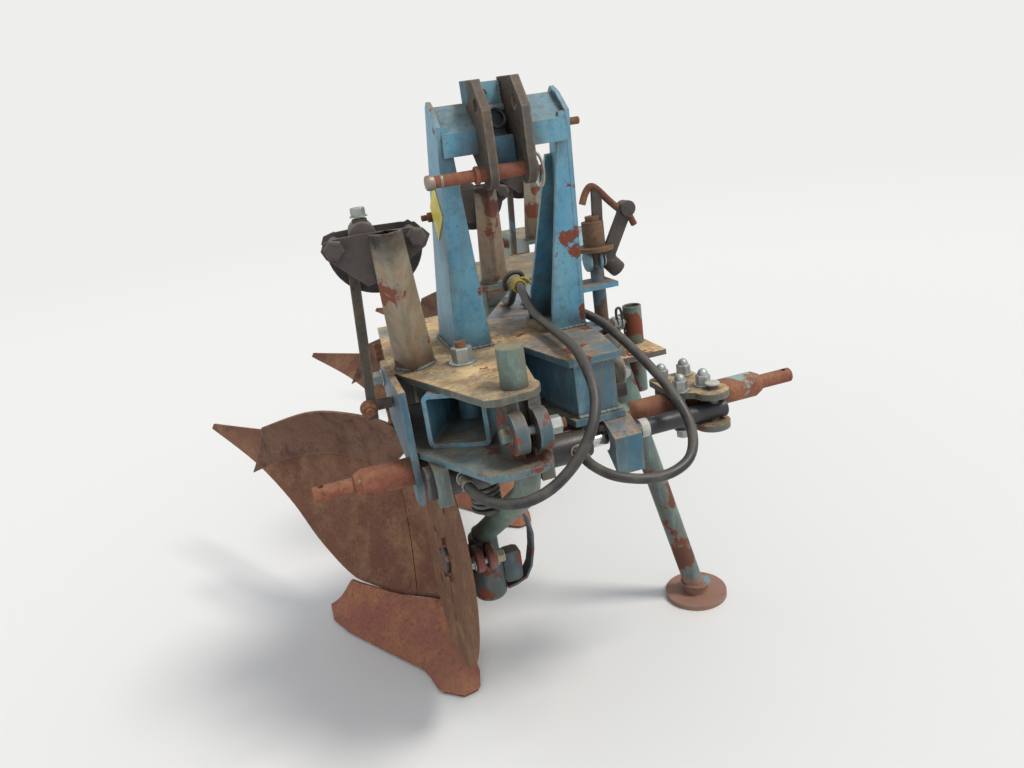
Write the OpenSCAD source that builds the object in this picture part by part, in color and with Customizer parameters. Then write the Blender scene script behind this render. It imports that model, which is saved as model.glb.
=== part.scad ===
// Three-furrow mounted moldboard plough with leaf-spring release legs.
// Millimetres. +X runs along the cross shaft towards the land side, +Y rearwards, +Z up.

/* [Frame] */
// Height of the beam's underside above the ground
beam_z = 675; // [665:1:690]
// Width of the square beam
beam_w = 110; // [100:1:120]
// Height of the beam
beam_h = 98; // [90:1:104]
// Wall of the beam
beam_wall = 8; // [5:0.5:10]
// Length of the beam
beam_len = 1860; // [1840:5:1950]
// Angle of the beam to the hitch's square, degrees
beam_ang = 28; // [27:0.5:29]
// Thickness of the head plates, bracket plates and frame plates
plate_t = 12; // [8:0.5:14]
// Diameter of the bolt through the head plates
head_bolt_d = 24; // [16:1:30]

/* [Hitch] */
// Height of the cross shaft's axis above the ground
shaft_z = 633; // [630:0.5:635]
// Diameter of the cross shaft
shaft_d = 50; // [46:0.5:52]
// Distance between the shoulders of the lower-link pins
shoulder_span = 800; // [790:5:860]
// Diameter of the lower-link pins
pin_d = 28; // [26:0.5:32]
// Length of the lower-link pins
pin_len = 70; // [60:1:90]
// Radial clearance of a shaft or pin in its bore
fit_gap = 0.05; // [0.03:0.01:0.09]
// Height of the top-link pin above the lower-link pins
top_link_rise = 472; // [455:1:485]
// Diameter of the top-link pin
top_pin_d = 25; // [22:0.5:28]
// Gap between the plates of the top-link bracket
top_link_gap = 52; // [48:1:60]
// Thickness of the plates of the top-link bracket
top_plate_t = 15; // [12:0.5:18]

/* [Mast] */
// Height of the mast above the frame's top plate
mast_rise = 447; // [430:1:460]
// Forward lean of the mast's front edge from base to top
mast_lean = 73; // [68:1:80]
// Inward lean of each mast leg from base to top
mast_splay = 18; // [12:1:22]
// Depth of a mast leg at its base
mast_depth = 152; // [145:1:158]
// Outside distance between the feet of the two mast legs
mast_span = 268; // [258:1:272]
// Thickness of the folded mast plate
mast_t = 8; // [5:0.5:10]

/* [Bodies] */
// Distance between two bodies along the beam
body_pitch = 725; // [715:1:735]
// Angle between the line of travel and the hitch's square, degrees
travel_ang = 4; // [3:0.25:5]
// Thickness of the moldboard
board_t = 8; // [6:0.5:10]
// Thickness of the share
share_t = 10; // [8:0.5:12]
// Thickness of the legs
leg_t = 34; // [28:1:35]
// Thickness of the cheek plates that hold a leg
cheek_t = 8; // [6:0.5:10]
// Side of the square release tower
tower_side = 64; // [58:1:70]
// Length of the release tower along its lean
tower_len = 295; // [270:1:300]
// Number of leaves in a spring pack
leaves = 6; // [4:1:7]
// Thickness of one leaf
leaf_t = 5; // [4:0.5:6]

/* [Coulter] */
// Diameter of the disc coulter
disc_d = 440; // [420:5:450]
// Thickness of the disc
disc_t = 5; // [4:0.5:6]
// Diameter of the coulter stalk
stalk_d = 45; // [40:0.5:48]

/* [Cylinder] */
// Outside diameter of the cylinder barrel
barrel_d = 58; // [52:0.5:60]
// Diameter of the cylinder rod
rod_d = 25; // [20:0.5:30]

/* [Stand] */
// Outside diameter of the parking leg
stand_d = 48; // [44:0.5:52]
// Wall of the parking leg
stand_wall = 5; // [3:0.5:8]
// Diameter of the foot plate
foot_d = 150; // [130:1:170]
// Wall of the parking leg's socket
socket_wall = 6; // [4:0.5:8]

/* [Hoses] */
// Diameter of a hydraulic hose
hose_d = 18; // [14:0.5:20]

/* [Hidden] */
$fn = 48;

// The origin is the middle of the whole plough's outline, on the ground.
shift_x = 6.7;
shift_y = -1122.5;

plate_top = beam_z + beam_h + plate_t;
plate_low = beam_z - plate_t;
beam_x = -208;
beam_y = -50;
tip_x = -239;
tip_y = 139;
step_x = body_pitch * sin(beam_ang);
step_y = body_pitch * cos(beam_ang);
mast_x = -20;
bracket_x = -30;
mast_y = 135;
link_y = 35;
link_z = shaft_z + top_link_rise;
// Where the sliding shaft stands along X.
shaft_x = 8;
stalk_x = -118;
stalk_y = -122;
cyl_y = -58;
cyl_z = shaft_z - 5;
seat = 0.3;
stand_lean = 14;
stand_x = 378;
stand_y = 250;
blue = [0.25, 0.46, 0.56];
rust = [0.42, 0.27, 0.22];
black = [0.18, 0.18, 0.19];
zinc = [0.72, 0.74, 0.74];

module place() { translate([shift_x, shift_y, 0]) children(); }

// Frame of the beam: Y runs along it, from its open front end.
module along_beam() { translate([beam_x, beam_y, 0]) rotate([0, 0, -beam_ang]) children(); }

// Frame of body k: the share's tip is at its origin and Y runs rearwards along the furrow.
module at_body(k) {
    translate([tip_x + k * step_x, tip_y + k * step_y, 0]) rotate([0, 0, -travel_ang]) children();
}

// Slope of the beam's furrow side across a body's frame, and where it crosses the tip's line.
side_slope = tan(beam_ang - travel_ang);
side_x0 = 66.7 + (110 - beam_w) / 2 / cos(beam_ang - travel_ang);
function side_x(y) = side_x0 + side_slope * y;

module rounded_box(w, h, r) {
    square([w - 2 * r, h], center = true);
    square([w, h - 2 * r], center = true);
    for (x = [-1, 1], y = [-1, 1]) translate([x * (w / 2 - r), y * (h / 2 - r)]) circle(r);
}

module plate(points, z, t) { translate([0, 0, z]) linear_extrude(t) polygon(points); }

// A plate in the YZ plane from x to x + t.
module side_plate(points, x, t) {
    translate([x, 0, 0]) rotate([90, 0, 90]) linear_extrude(t) polygon(points);
}

// A plate in the XZ plane from y to y + t.
module front_plate(points, y, t) {
    translate([0, y + t, 0]) rotate([90, 0, 0]) linear_extrude(t) polygon(points);
}

// A round bar between two points.
module bar(p, q, d) {
    v = q - p;
    len = norm(v);
    translate(p) rotate([0, acos(v[2] / len), atan2(v[1], v[0])]) cylinder(h = len, d = d);
}

// The bend of a round bar at a corner, from direction a to direction b.
module elbow(corner, a, b, bend_r, d) {
    turn = acos(a * b);
    inward = unit(b - (a * b) * a);
    start = corner - bend_r * tan(turn / 2) * a;
    arc = [for (i = [0 : 4]) let (t = turn * i / 4) start + bend_r * (sin(t) * a + (1 - cos(t)) * inward)];
    rings_along(concat([start - 3 * a], arc, [arc[4] + 3 * b]), d - 0.4, 20);
}

module x_bar(x0, x1, y, z, d) { translate([x0, y, z]) rotate([0, 90, 0]) cylinder(h = x1 - x0, d = d); }

// Faces of a closed sheet whose front and back are grids of n rows by m columns.
function grid_faces(n, m) = let (o = n * m) concat(
    [for (i = [0 : n - 2], j = [0 : m - 2]) each
        [[i * m + j, i * m + j + 1, (i + 1) * m + j + 1], [i * m + j, (i + 1) * m + j + 1, (i + 1) * m + j]]],
    [for (i = [0 : n - 2], j = [0 : m - 2]) each
        [[o + i * m + j, o + (i + 1) * m + j + 1, o + i * m + j + 1],
         [o + i * m + j, o + (i + 1) * m + j, o + (i + 1) * m + j + 1]]],
    [for (j = [0 : m - 2]) each [[j, o + j, o + j + 1], [j, o + j + 1, j + 1]]],
    [for (j = [0 : m - 2]) each let (a = (n - 1) * m + j) [[a, a + 1, o + a + 1], [a, o + a + 1, o + a]]],
    [for (i = [0 : n - 2]) each let (a = i * m, b = (i + 1) * m) [[a, b, o + b], [a, o + b, o + a]]],
    [for (i = [0 : n - 2]) each let (a = i * m + m - 1, b = a + m) [[a, o + a, o + b], [a, o + b, b]]]);

function unit(v) = v / norm(v);
function mix(a, b, s) = a + (b - a) * s;
function normal_at(g, i, j, n, m) = unit(cross(
    g[min(i + 1, n - 1)][j] - g[max(i - 1, 0)][j], g[i][min(j + 1, m - 1)] - g[i][max(j - 1, 0)]));

// A curved sheet of thickness t behind a grid of points.
module sheet(g, t) {
    n = len(g);
    m = len(g[0]);
    front = [for (i = [0 : n - 1], j = [0 : m - 1]) g[i][j]];
    back = [for (i = [0 : n - 1], j = [0 : m - 1]) g[i][j] + t * normal_at(g, i, j, n, m)];
    faces = grid_faces(n, m);
    polyhedron(concat(front, back), t < 0 ? faces : [for (f = faces) [f[2], f[1], f[0]]], convexity = 4);
}

// Beam and head.
module main_beam() color(blue) place() along_beam()
    translate([0, beam_len, beam_z + beam_h / 2]) rotate([90, 0, 0]) linear_extrude(beam_len)
        difference() {
            rounded_box(beam_w, beam_h, 12);
            rounded_box(beam_w - 2 * beam_wall, beam_h - 2 * beam_wall, 5);
        }

bolt_at = [-155.8, 69.5];

module head_plate_cut() {
    difference() {
        children();
        translate([stalk_x, stalk_y]) circle(d = stalk_d + 2 * fit_gap);
        translate(bolt_at) circle(d = head_bolt_d + 2 * fit_gap);
    }
}

function arc(c, r, a0, a1, n) = [for (i = [0 : n]) let (a = a0 + (a1 - a0) * i / n) c + r * [cos(a), sin(a)]];
module head_upper_plate() color(blue) place()
    translate([0, 0, beam_z + beam_h]) linear_extrude(plate_t) head_plate_cut()
        polygon(concat([[-280, 95], [-178, -156], [-156, -166]], arc([stalk_x, stalk_y], 41, -105, 20, 6),
            [[-44, 120], [-44, 345], [-60, 484], [-258, 484], [-280, 215]]));

module head_lower_plate() color(blue) place()
    translate([0, 0, plate_low]) linear_extrude(plate_t) head_plate_cut()
        polygon(concat([[-280, -22], [-195, -190], [-165, -202]], arc([stalk_x - 4, stalk_y - 38], 40, -105, 20, 6),
            [[-44, 120], [-44, 345], [-60, 484], [-206, 484], [-219, 290], [-224, 226], [-280, 226]]));

module beam_spacer() color(blue) place()
    translate([bolt_at[0], bolt_at[1], beam_z + beam_wall]) difference() {
        cylinder(h = beam_h - 2 * beam_wall, d = 44);
        translate([0, 0, -1]) cylinder(h = beam_h, d = head_bolt_d + 2 * fit_gap);
    }

// Coulter.
clamp_d = 76;
lug_y = -46;
lug_d = 68;
lug_t = 21;
module coulter_clamp() color(blue) place() translate([stalk_x, stalk_y, beam_z]) difference() {
    union() {
        cylinder(h = beam_h, d = clamp_d);
        for (s = [-1, 1]) translate([s * 19 - lug_t / 2, 0, beam_h / 2]) rotate([90, 0, 90]) linear_extrude(lug_t) {
            translate([lug_y, 0]) circle(d = lug_d);
            translate([lug_y, -lug_d * 0.42]) square([-lug_y - 10, lug_d * 0.84]);
        }
    }
    translate([0, 0, -1]) cylinder(h = beam_h + 2, d = stalk_d + 2 * fit_gap);
    translate([-8, -100, -1]) cube([16, 90, beam_h + 2]);
    translate([-60, lug_y, beam_h / 2]) rotate([0, 90, 0]) cylinder(h = 120, d = 16);
}

stalk_top = [stalk_x, stalk_y, plate_top + 67];
stalk_bend = [stalk_x, stalk_y, 600];
stalk_bend_r = 80;
arm_foot = [-158, 162, 381];
hub_at = [-236, 171, 338];
axle_dir = [0.9957, 0.0279, -0.0871];
arm_dir = unit(arm_foot - stalk_bend);
stalk_tangent = stalk_bend_r * tan(acos(-arm_dir[2]) / 2);

module coulter_stalk() color(blue) place() {
    bar(stalk_bend + [0, 0, stalk_tangent], stalk_top, stalk_d);
    elbow(stalk_bend, [0, 0, -1], arm_dir, stalk_bend_r, stalk_d);
    bar(stalk_bend + stalk_tangent * arm_dir, arm_foot, stalk_d);
}

axle_d = 30;
hub_z = 262;
hub_h = 110;
hub_d = 82;
hub_reach = 70;
module coulter_hub() color(blue) place() difference() {
    union() {
        translate([arm_foot[0], arm_foot[1] + 8, hub_z]) cylinder(h = hub_h, d = hub_d);
        bar(arm_foot - hub_reach * arm_dir, arm_foot + 18 * arm_dir, stalk_d + 24);
        for (s = [-1, 1]) x_bar(arm_foot[0] + s * 17 - 9, arm_foot[0] + s * 17 + 9, arm_foot[1] - 66, arm_foot[2] + 26, 44);
        bar(hub_at + 20 * axle_dir, hub_at + hub_reach * axle_dir, axle_d + 16);
        bar(hub_at - 12 * axle_dir, hub_at + hub_reach * axle_dir, axle_d);
    }
    bar(arm_foot - (hub_reach + 40) * arm_dir, arm_foot, stalk_d + 2 * fit_gap);
}

module coulter_disc() color(rust) place() translate(hub_at) rotate([0, 95, 1.6]) difference() {
    union() {
        translate([0, 0, -disc_t / 2]) cylinder(h = disc_t, d = disc_d, $fn = 96);
        translate([0, 0, -disc_t / 2]) cylinder(h = disc_t / 2 + 18, d = 110);
    }
    translate([0, 0, -30]) cylinder(h = 80, d = axle_d + 2 * fit_gap);
}

// Mast: two tapered channels that lean forward and towards each other.
mast_edge = 44;
lean_ang = atan(mast_lean / (mast_rise - mast_edge));
front_len = norm([mast_lean, mast_rise - mast_edge]);
splay_ang = atan(mast_splay / mast_rise);
flange_low = 74;
flange_top = 20;
tip_back = 70;
rear_ang = atan((mast_depth + mast_lean - tip_back) / (mast_rise - 8));
// Height of the cross member's underside above the frame's top plate.
cross_rise = 353;
// Each leg starts this far below the frame's top plate, and is cut level with it.
leg_sink = 8;

// Frame of a mast leg: its outer face is at X = 0. side is -1 for the left leg and 1 for the right leg.
module at_leg(side) {
    translate([mast_x + side * mast_span / 2, mast_y, plate_top]) rotate([0, -side * splay_ang, 0]) children();
}
module mast_flange(side) {
    at_leg(side) rotate([lean_ang, 0, 0]) front_plate([[-side, -leg_sink], [-side * flange_low, -leg_sink],
        [-side * flange_top, front_len - 1], [-side, front_len - 1]], 0.5, mast_t);
}
module mast_rear_flange(side) {
    at_leg(side) translate([0, mast_depth, 0]) rotate([rear_ang, 0, 0])
        front_plate([[-side, -leg_sink], [-side * flange_low, -leg_sink],
            [-side * flange_top, cross_rise], [-side, cross_rise]], -mast_t - 0.5, mast_t);
}
module mast_leg(side) color(blue) place() difference() {
    union() {
        at_leg(side) side_plate([[leg_sink * tan(lean_ang), -leg_sink], [-mast_lean, mast_rise - mast_edge],
            [34 - mast_lean, mast_rise - 12], [58 - mast_lean, mast_rise], [tip_back - mast_lean, mast_rise - 8],
            [mast_depth + leg_sink * tan(rear_ang), -leg_sink]], side < 0 ? 0 : -mast_t, mast_t);
        mast_flange(side);
        mast_rear_flange(side);
    }
    translate([-500, -500, plate_top - 100]) cube([1000, 1500, 100]);
}
module mast_leg_left() mast_leg(-1);
module mast_leg_right() mast_leg(1);

arm_x = top_link_gap / 2 + top_plate_t;
cross_low = plate_top + cross_rise;
module cross_profile(x0, x1) {
    y0 = mast_y - mast_lean;
    side_plate([[y0, cross_low], [y0, cross_low + 38], [y0 + 56, cross_low + 84], [y0 + 56, cross_low],
        [y0 + 50, cross_low], [y0 + 50, cross_low + 71], [y0 + 6, cross_low + 35], [y0 + 6, cross_low]],
        x0, x1 - x0);
}
// Everything from a leg's inner face outwards.
module beyond_leg(side) {
    at_leg(side) translate([side < 0 ? mast_t - 200 : -mast_t, -400, 0]) cube([200, 900, 2 * mast_rise]);
}
module mast_cross_member() color(blue) place() difference() {
    union() {
        cross_profile(mast_x - mast_span / 2, bracket_x - arm_x);
        cross_profile(bracket_x + arm_x, mast_x + mast_span / 2);
    }
    for (side = [-1, 1]) {
        mast_flange(side);
        beyond_leg(side);
    }
}

top_bore_z = link_z + 107;
module top_link_bracket() color(blue) place() {
    for (s = [-1, 1]) difference() {
        union() {
            side_plate([[link_y - 26, link_z], [link_y - 26, link_z + 97], [link_y + 15, link_z + 148],
                [link_y + 93, link_z + 153], [link_y + 93, link_z + 50], [link_y + 24, link_z - 12]],
                bracket_x + (s < 0 ? -arm_x : top_link_gap / 2), top_plate_t);
            x_bar(bracket_x + (s < 0 ? -arm_x : top_link_gap / 2),
                bracket_x + (s < 0 ? -arm_x : top_link_gap / 2) + top_plate_t, link_y, link_z, 52);
        }
        x_bar(bracket_x - 90, bracket_x + 90, link_y, link_z, top_pin_d + 2 * fit_gap);
        x_bar(bracket_x - 90, bracket_x + 90, link_y + 10, top_bore_z, top_pin_d + 1);
    }
    side_plate([[link_y + 83, link_z + 40], [link_y + 83, link_z + 145], [link_y + 93, link_z + 145],
        [link_y + 93, link_z + 40]], bracket_x - top_link_gap / 2 - 1, top_link_gap + 2);
}

module top_link_pin() color(rust) place() {
    x_bar(bracket_x - 60, bracket_x + arm_x + 7, link_y, link_z, top_pin_d);
    x_bar(bracket_x - 145, bracket_x - 59, link_y, link_z, top_pin_d - 5);
}

// Frame box.
box_front = -60;
beam_side_y = 140;
function beam_right(y) = beam_x + (beam_w / 2) / cos(beam_ang) + (y - beam_y) * tan(beam_ang);
module wall_between(p, q, t) {
    v = q - p;
    translate([p[0], p[1], beam_z - 2]) rotate([0, 0, atan2(v[1], v[0])]) cube([norm(v), t, beam_h + 4]);
}
box_back = mast_y + mast_depth + 58;
box_right = 112;
// Plate of the frame box whose right side stands out by more at its back.
function box_plate(out) = [[-2, box_front - 4], [92, box_front - 4], [box_right - 2 + out / 2, 60],
    [box_right + out, box_back], [-44, box_back], [-44, 120]];
module frame_box() color(blue) place() {
    plate(box_plate(6), beam_z + beam_h, plate_t);
    plate(box_plate(0), plate_low, plate_t);
    wall_between([8, box_front + 4], [84, box_front + 4], 8);
    wall_between([84, box_front + 4], [100, 64], 8);
    wall_between([100, 64], [104, box_back - 7], 8);
    wall_between([beam_right(beam_side_y) + 8, beam_side_y + 8], [8, box_front + 4], 8);
}

// Cross shaft.
shaft_end = shoulder_span / 2;
cone_h = 14;
module cross_shaft() color(rust) place() difference() {
    union() {
        x_bar(shaft_x - shaft_end + cone_h, shaft_x + shaft_end - cone_h, 0, shaft_z, shaft_d);
        x_bar(shaft_x - shaft_end - pin_len, shaft_x + shaft_end + pin_len, 0, shaft_z, pin_d);
        for (s = [-1, 1]) translate([shaft_x + s * (shaft_end - cone_h), 0, shaft_z]) rotate([0, s * 90, 0])
            cylinder(h = cone_h, d1 = shaft_d, d2 = shaft_d - 14);
    }
    for (s = [-1, 1]) translate([shaft_x + s * (shaft_end + pin_len - 14), 0, shaft_z - 30]) cylinder(h = 60, d = 11.5);
}

rod_pin_x = 272;
rod_pin_d = 20;
clamp_gap = shaft_d / 2 + seat / 10;
module shaft_clamp_plates() color(blue) place() {
    for (z = [shaft_z + clamp_gap, shaft_z - clamp_gap - plate_t]) {
        plate([[200, -24], [214, -44], [rod_pin_x - 36, cyl_y - 2], [rod_pin_x + 20, cyl_y], [292, -38], [292, 54],
            [284, 62], [208, 62], [200, 54]], z, plate_t);
        translate([rod_pin_x - 4, cyl_y, z]) cylinder(h = plate_t, d = 66);
    }
    for (x = [218, 272]) translate([x, 42, shaft_z - clamp_gap]) cylinder(h = 2 * clamp_gap, d = 24);
    translate([rod_pin_x, cyl_y, shaft_z - clamp_gap - plate_t - 8])
        cylinder(h = 2 * (clamp_gap + plate_t + 8), d = rod_pin_d);
}

module left_bearing_plate() color(blue) place() difference() {
    side_plate([[-28, plate_top], [-32, shaft_z - 20], [-14, shaft_z - 65], [24, shaft_z - 65], [60, shaft_z],
        [200, plate_low], [200, plate_top]], -292, 12);
    x_bar(-300, -270, 0, shaft_z, shaft_d + 2 * fit_gap);
}

module right_bearing() color(blue) place() difference() {
    translate([22, -27, shaft_z - 33]) cube([26, 66, plate_low - shaft_z + 33]);
    x_bar(10, 60, 0, shaft_z, shaft_d + 2 * fit_gap);
}

// Cylinder that shifts the shaft.
barrel_x0 = -278;
barrel_x1 = 10;
module cylinder_barrel() color(black) place() difference() {
    union() {
        x_bar(barrel_x0, barrel_x1, cyl_y, cyl_z, barrel_d);
        bar([-220, cyl_y - 20, cyl_z + 6], [-220, cyl_y - 42, cyl_z + 10], 20);
        bar([-14, cyl_y - 20, cyl_z], [-14, cyl_y - 38, cyl_z + 2], 20);
    }
    x_bar(barrel_x1 - 12, barrel_x1 + 1, cyl_y, cyl_z, rod_d + 2 * fit_gap);
    x_bar(barrel_x0 + 14, barrel_x1 - 12, cyl_y, cyl_z, barrel_d - 12);
}

module cylinder_rod() color(black) place() difference() {
    union() {
        x_bar(-110, 130, cyl_y, cyl_z, rod_d);
        x_bar(110, rod_pin_x + 22, cyl_y, cyl_z, 34);
    }
    translate([rod_pin_x, cyl_y, cyl_z - 40]) cylinder(h = 80, d = rod_pin_d + 2 * fit_gap);
}

module cylinder_clamps() color(zinc) place() for (x = [-266, -84]) difference() {
    translate([x, cyl_y - 34, cyl_z - 34]) cube([24, 61.5, plate_low - cyl_z + 34]);
    x_bar(x - 1, x + 25, cyl_y, cyl_z, barrel_d + 2 * fit_gap);
}

guide_front = -105;
guide_low = 572;
guide_back = -31;
module rod_guide() color(blue) place() difference() {
    union() {
        side_plate([[guide_back, plate_low], [-60, plate_low], [guide_front, 642], [guide_front, guide_low],
            [guide_front + 8, guide_low], [guide_front + 8, 637], [-62, plate_low - 8], [guide_back, plate_low - 8]],
            50, 52);
        for (x = [50, 94]) side_plate([[guide_front, guide_low], [guide_back, plate_low - 30],
            [guide_back, plate_low], [-60, plate_low], [guide_front, 642]], x, 8);
    }
    x_bar(40, 110, cyl_y, cyl_z, 46);
}

// Parking stand.
module along_stand() { translate([stand_x, stand_y, 0]) rotate([0, -stand_lean, 0]) children(); }
module stand_leg() color(blue) place() {
    difference() {
        along_stand() translate([0, 0, 20]) cylinder(h = 730, d = stand_d);
        along_stand() translate([0, 0, 60]) cylinder(h = 730, d = stand_d - 2 * stand_wall);
    }
    translate([stand_x - 3, stand_y, 0]) cylinder(h = 12, d = foot_d);
    translate([stand_x - 3, stand_y, 10]) cylinder(h = 22, d = stand_d + 12);
}
module stand_socket() color(blue) place() difference() {
    along_stand() translate([0, 0, 560]) cylinder(h = 150, d = stand_d + 2 * (fit_gap + socket_wall));
    along_stand() translate([0, 0, 500]) cylinder(h = 300, d = stand_d + 2 * fit_gap);
}
module stand_arm() color(blue) place() difference() {
    translate([box_right, stand_y - 50, plate_low]) cube([205, 130, plate_t]);
    along_stand() translate([0, 0, 560]) cylinder(h = 150, d = stand_d + 2 * (fit_gap + socket_wall));
    translate([stow_x, stow_y, 500]) cylinder(h = 300, d = stow_d);
}
stow_x = 290;
stow_y = 298;
stow_d = 42;
module stowage_tube() color(blue) place() translate([stow_x, stow_y, 560]) difference() {
    cylinder(h = 200, d = stow_d);
    translate([0, 0, 6]) cylinder(h = 200, d = stow_d - 8);
}

// Bodies.
leg_x = 0;
cheek_x = -leg_t - 2 * seat;
module body_bracket(k) color(blue) place() at_body(k) {
    y0 = k == 0 ? 92 : -75;
    side_plate([[y0, beam_z + beam_h], [y0, plate_low], [y0 + 40, 585], [300, 560], [345, 600], [345, beam_z + beam_h]],
        cheek_x - cheek_t, cheek_t);
    side_plate([[150, beam_z + beam_h], [150, 640], [220, 575], [300, 560], [345, 600], [345, beam_z + beam_h]],
        leg_x, cheek_t);
    if (k > 0) {
        plate([[cheek_x - cheek_t, -75], [side_x(-75) + 60, -75], [side_x(345) + 60, 345],
            [cheek_x - cheek_t, 345]], beam_z + beam_h, plate_t);
        plate([[leg_x + cheek_t, 150], [side_x(150) + 60, 150], [side_x(345) + 60, 345],
            [leg_x + cheek_t, 345]], plate_low, plate_t);
    }
}
module body_bracket_1() body_bracket(0);
module body_bracket_2() body_bracket(1);
module body_bracket_3() body_bracket(2);

tower_foot = [5, -20, 0];
tower_head = [-12, -159, 264];
tower_dir = unit(tower_head - tower_foot);
module along_tower() {
    translate([tower_foot[0], tower_foot[1], plate_top])
        rotate([0, acos(tower_dir[2]), atan2(tower_dir[1], tower_dir[0])]) rotate([0, 0, 45]) children();
}
// The tower tapers towards its top. It is cut level at its foot and at its top.
tower_taper = 0.66;
module tower_shape(side, r) {
    along_tower() translate([0, 0, -60]) linear_extrude(tower_len + 90, scale = tower_taper) rounded_box(side, side, r);
}
module release_tower(k) color(blue) place() at_body(k) intersection() {
    difference() {
        tower_shape(tower_side, 14, $fn = 24);
        tower_shape(tower_side - 12, 8, $fn = 24);
    }
    translate([-200, -300, plate_top]) cube([400, 500, tower_len * tower_dir[2]]);
}
module release_tower_1() release_tower(0);
module release_tower_2() release_tower(1);
module release_tower_3() release_tower(2);

// Pins of the release head, across and down from the tower's top.
head_pins = [-82, 52];
head_pin_z = -24;
head_pin_d = 20;
leaf_y = -42;
leaf_w = 58;
leaf_top = head_pin_z - head_pin_d / 2;
leaf_r = (head_pins[1] - head_pins[0] - leaves * (leaf_t + 0.2)) / 2;
module release_heads() color(black) place() for (k = [0 : 2]) at_body(k) {
    difference() {
        translate([tower_head[0], 0, plate_top + tower_head[2]]) for (y = [-100, leaf_y + leaf_w + 2])
            front_plate([[-104, -24], [-98, -12], [-84, -8], [-40, -6], [40, -8], [66, -12], [76, -24], [66, -42],
                [-6, -84], [-40, -92], [-98, -38]], y, 8);
        tower_shape(tower_side, 14, $fn = 24);
    }
    translate([tower_head[0], -108, plate_top + tower_head[2]]) for (x = head_pins)
        translate([x, 0, head_pin_z]) rotate([-90, 0, 0]) cylinder(h = 116 + leaf_y + leaf_w, d = head_pin_d);
}

module leaf_springs() color(black) place() for (k = [0 : 2]) at_body(k)
    translate([tower_head[0] + (head_pins[0] + head_pins[1]) / 2, leaf_y, plate_top + tower_head[2] + leaf_top])
        rotate([-90, 0, 0]) for (i = [0 : leaves - 1]) rotate_extrude(angle = 180)
            translate([leaf_r + i * (leaf_t + 0.2), 0]) square([leaf_t, leaf_w]);

rod_x = -92;
rod_t = 20;
module pull_rods() color(blue) place() for (k = [0 : 2]) at_body(k) {
    front_plate([[-80, 985], [-62, 985], [-80, 712], [-98, 712]], leaf_y - rod_t, rod_t);
    x_bar(rod_x, k == 0 ? -50.5 : cheek_x - cheek_t, leaf_y - rod_t / 2, 735, rod_t);
}

// Body leg, share, moldboard.
// Clearance that leaves the leg about 0.3 mm from the faceted moldboard.
leg_seat = -0.3;
function leg_front(z) = board_back((z - seam_z) / (shin_top - seam_z)) + leg_seat;
module body_leg(k) color(blue) place() at_body(k)
    side_plate(concat([for (i = [0 : 6]) let (z = seam_z + (shin_top - seam_z) * i / 6) [leg_front(z), z]],
        [[318, 500], [292, 548], [218, 580], [175, 640], [180, 740], [335, 740], [375, 600], [430, 490], [455, 380],
        [470, 240], [490, 110], [470, 60], [leg_front(seam_z), 60]]), leg_x - leg_t - seat, leg_t);
module body_leg_1() body_leg(0);
module body_leg_2() body_leg(1);
module body_leg_3() body_leg(2);

// Share: the edge lies on the ground and the back rises to the seam with the moldboard.
seam_z = 118;
// Gap between the share and the moldboard above it.
seam_gap = 0.7;
share_edge = [[17, 84, 2], [8, 24, 0], [-22, 16, 0], [-66, 48, 0], [-80, 104, 0], [-92, 136, 0], [-167, 234, 0],
    [-264, 366, 0], [-300, 436, 0], [-306, 506, 5]];
share_seam = [[2, 208, seam_z], [-8, 219, seam_z], [-22, 227, seam_z], [-42, 240, seam_z], [-66, 257, seam_z],
    [-90, 274, seam_z], [-130, 312, seam_z], [-185, 372, seam_z], [-214, 402, seam_z], [-232, 425, seam_z]];
module share(k) color(rust) place() at_body(k)
    sheet([for (i = [0 : len(share_edge) - 1]) [for (j = [0 : 4]) mix(share_edge[i], share_seam[i], j / 4)
        - [0, 0, 12 * sin(180 * j / 4)]]], -share_t);
module share_1() share(0);
module share_2() share(1);
module share_3() share(2);

// Moldboard: a sheet between its lower and upper edges, hollowed towards the back between them.
shin_top = 455;
board_low = [[0, 212, seam_z + seam_gap], [-60, 255, seam_z + seam_gap], [-120, 300, seam_z + seam_gap],
    [-185, 372, seam_z + 2 * seam_gap],
    [-236, 430, seam_z + 14], [-301, 515, 204], [-362, 613, 294], [-453, 761, 370], [-590, 985, 424]];
board_top = [[0, 264, shin_top], [-50, 310, 463], [-110, 370, 471], [-170, 432, 475], [-226, 494, 476],
    [-290, 590, 472], [-352, 690, 465], [-440, 815, 452], [-580, 978, 440]];
board_hollow = 30;
function edge_slope(e) = (e[1][1] - e[0][1]) / (e[0][0] - e[1][0]);
function hollow(s) = board_hollow * sin(180 * s);
// Furthest point back of the moldboard where it crosses the leg.
function board_back(s) = mix(board_low[0][1], board_top[0][1], s) + hollow(s) + board_t * 1.5
    + (leg_t + 2 * seat) * mix(edge_slope(board_low), edge_slope(board_top), s);
module moldboard(k) color(rust) place() at_body(k) {
    low = smooth(board_low, 2);
    top = smooth(board_top, 2);
    n = len(low) - 1;
    sheet([for (i = [0 : n]) [for (j = [0 : 8]) mix(low[i], top[i], j / 8)
        + hollow(j / 8) * (1 - i / n) * [0.8 * min(1, i / 6), 0.8, 0]]], board_t);
}
module moldboard_1() moldboard(0);
module moldboard_2() moldboard(1);
module moldboard_3() moldboard(2);

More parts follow.
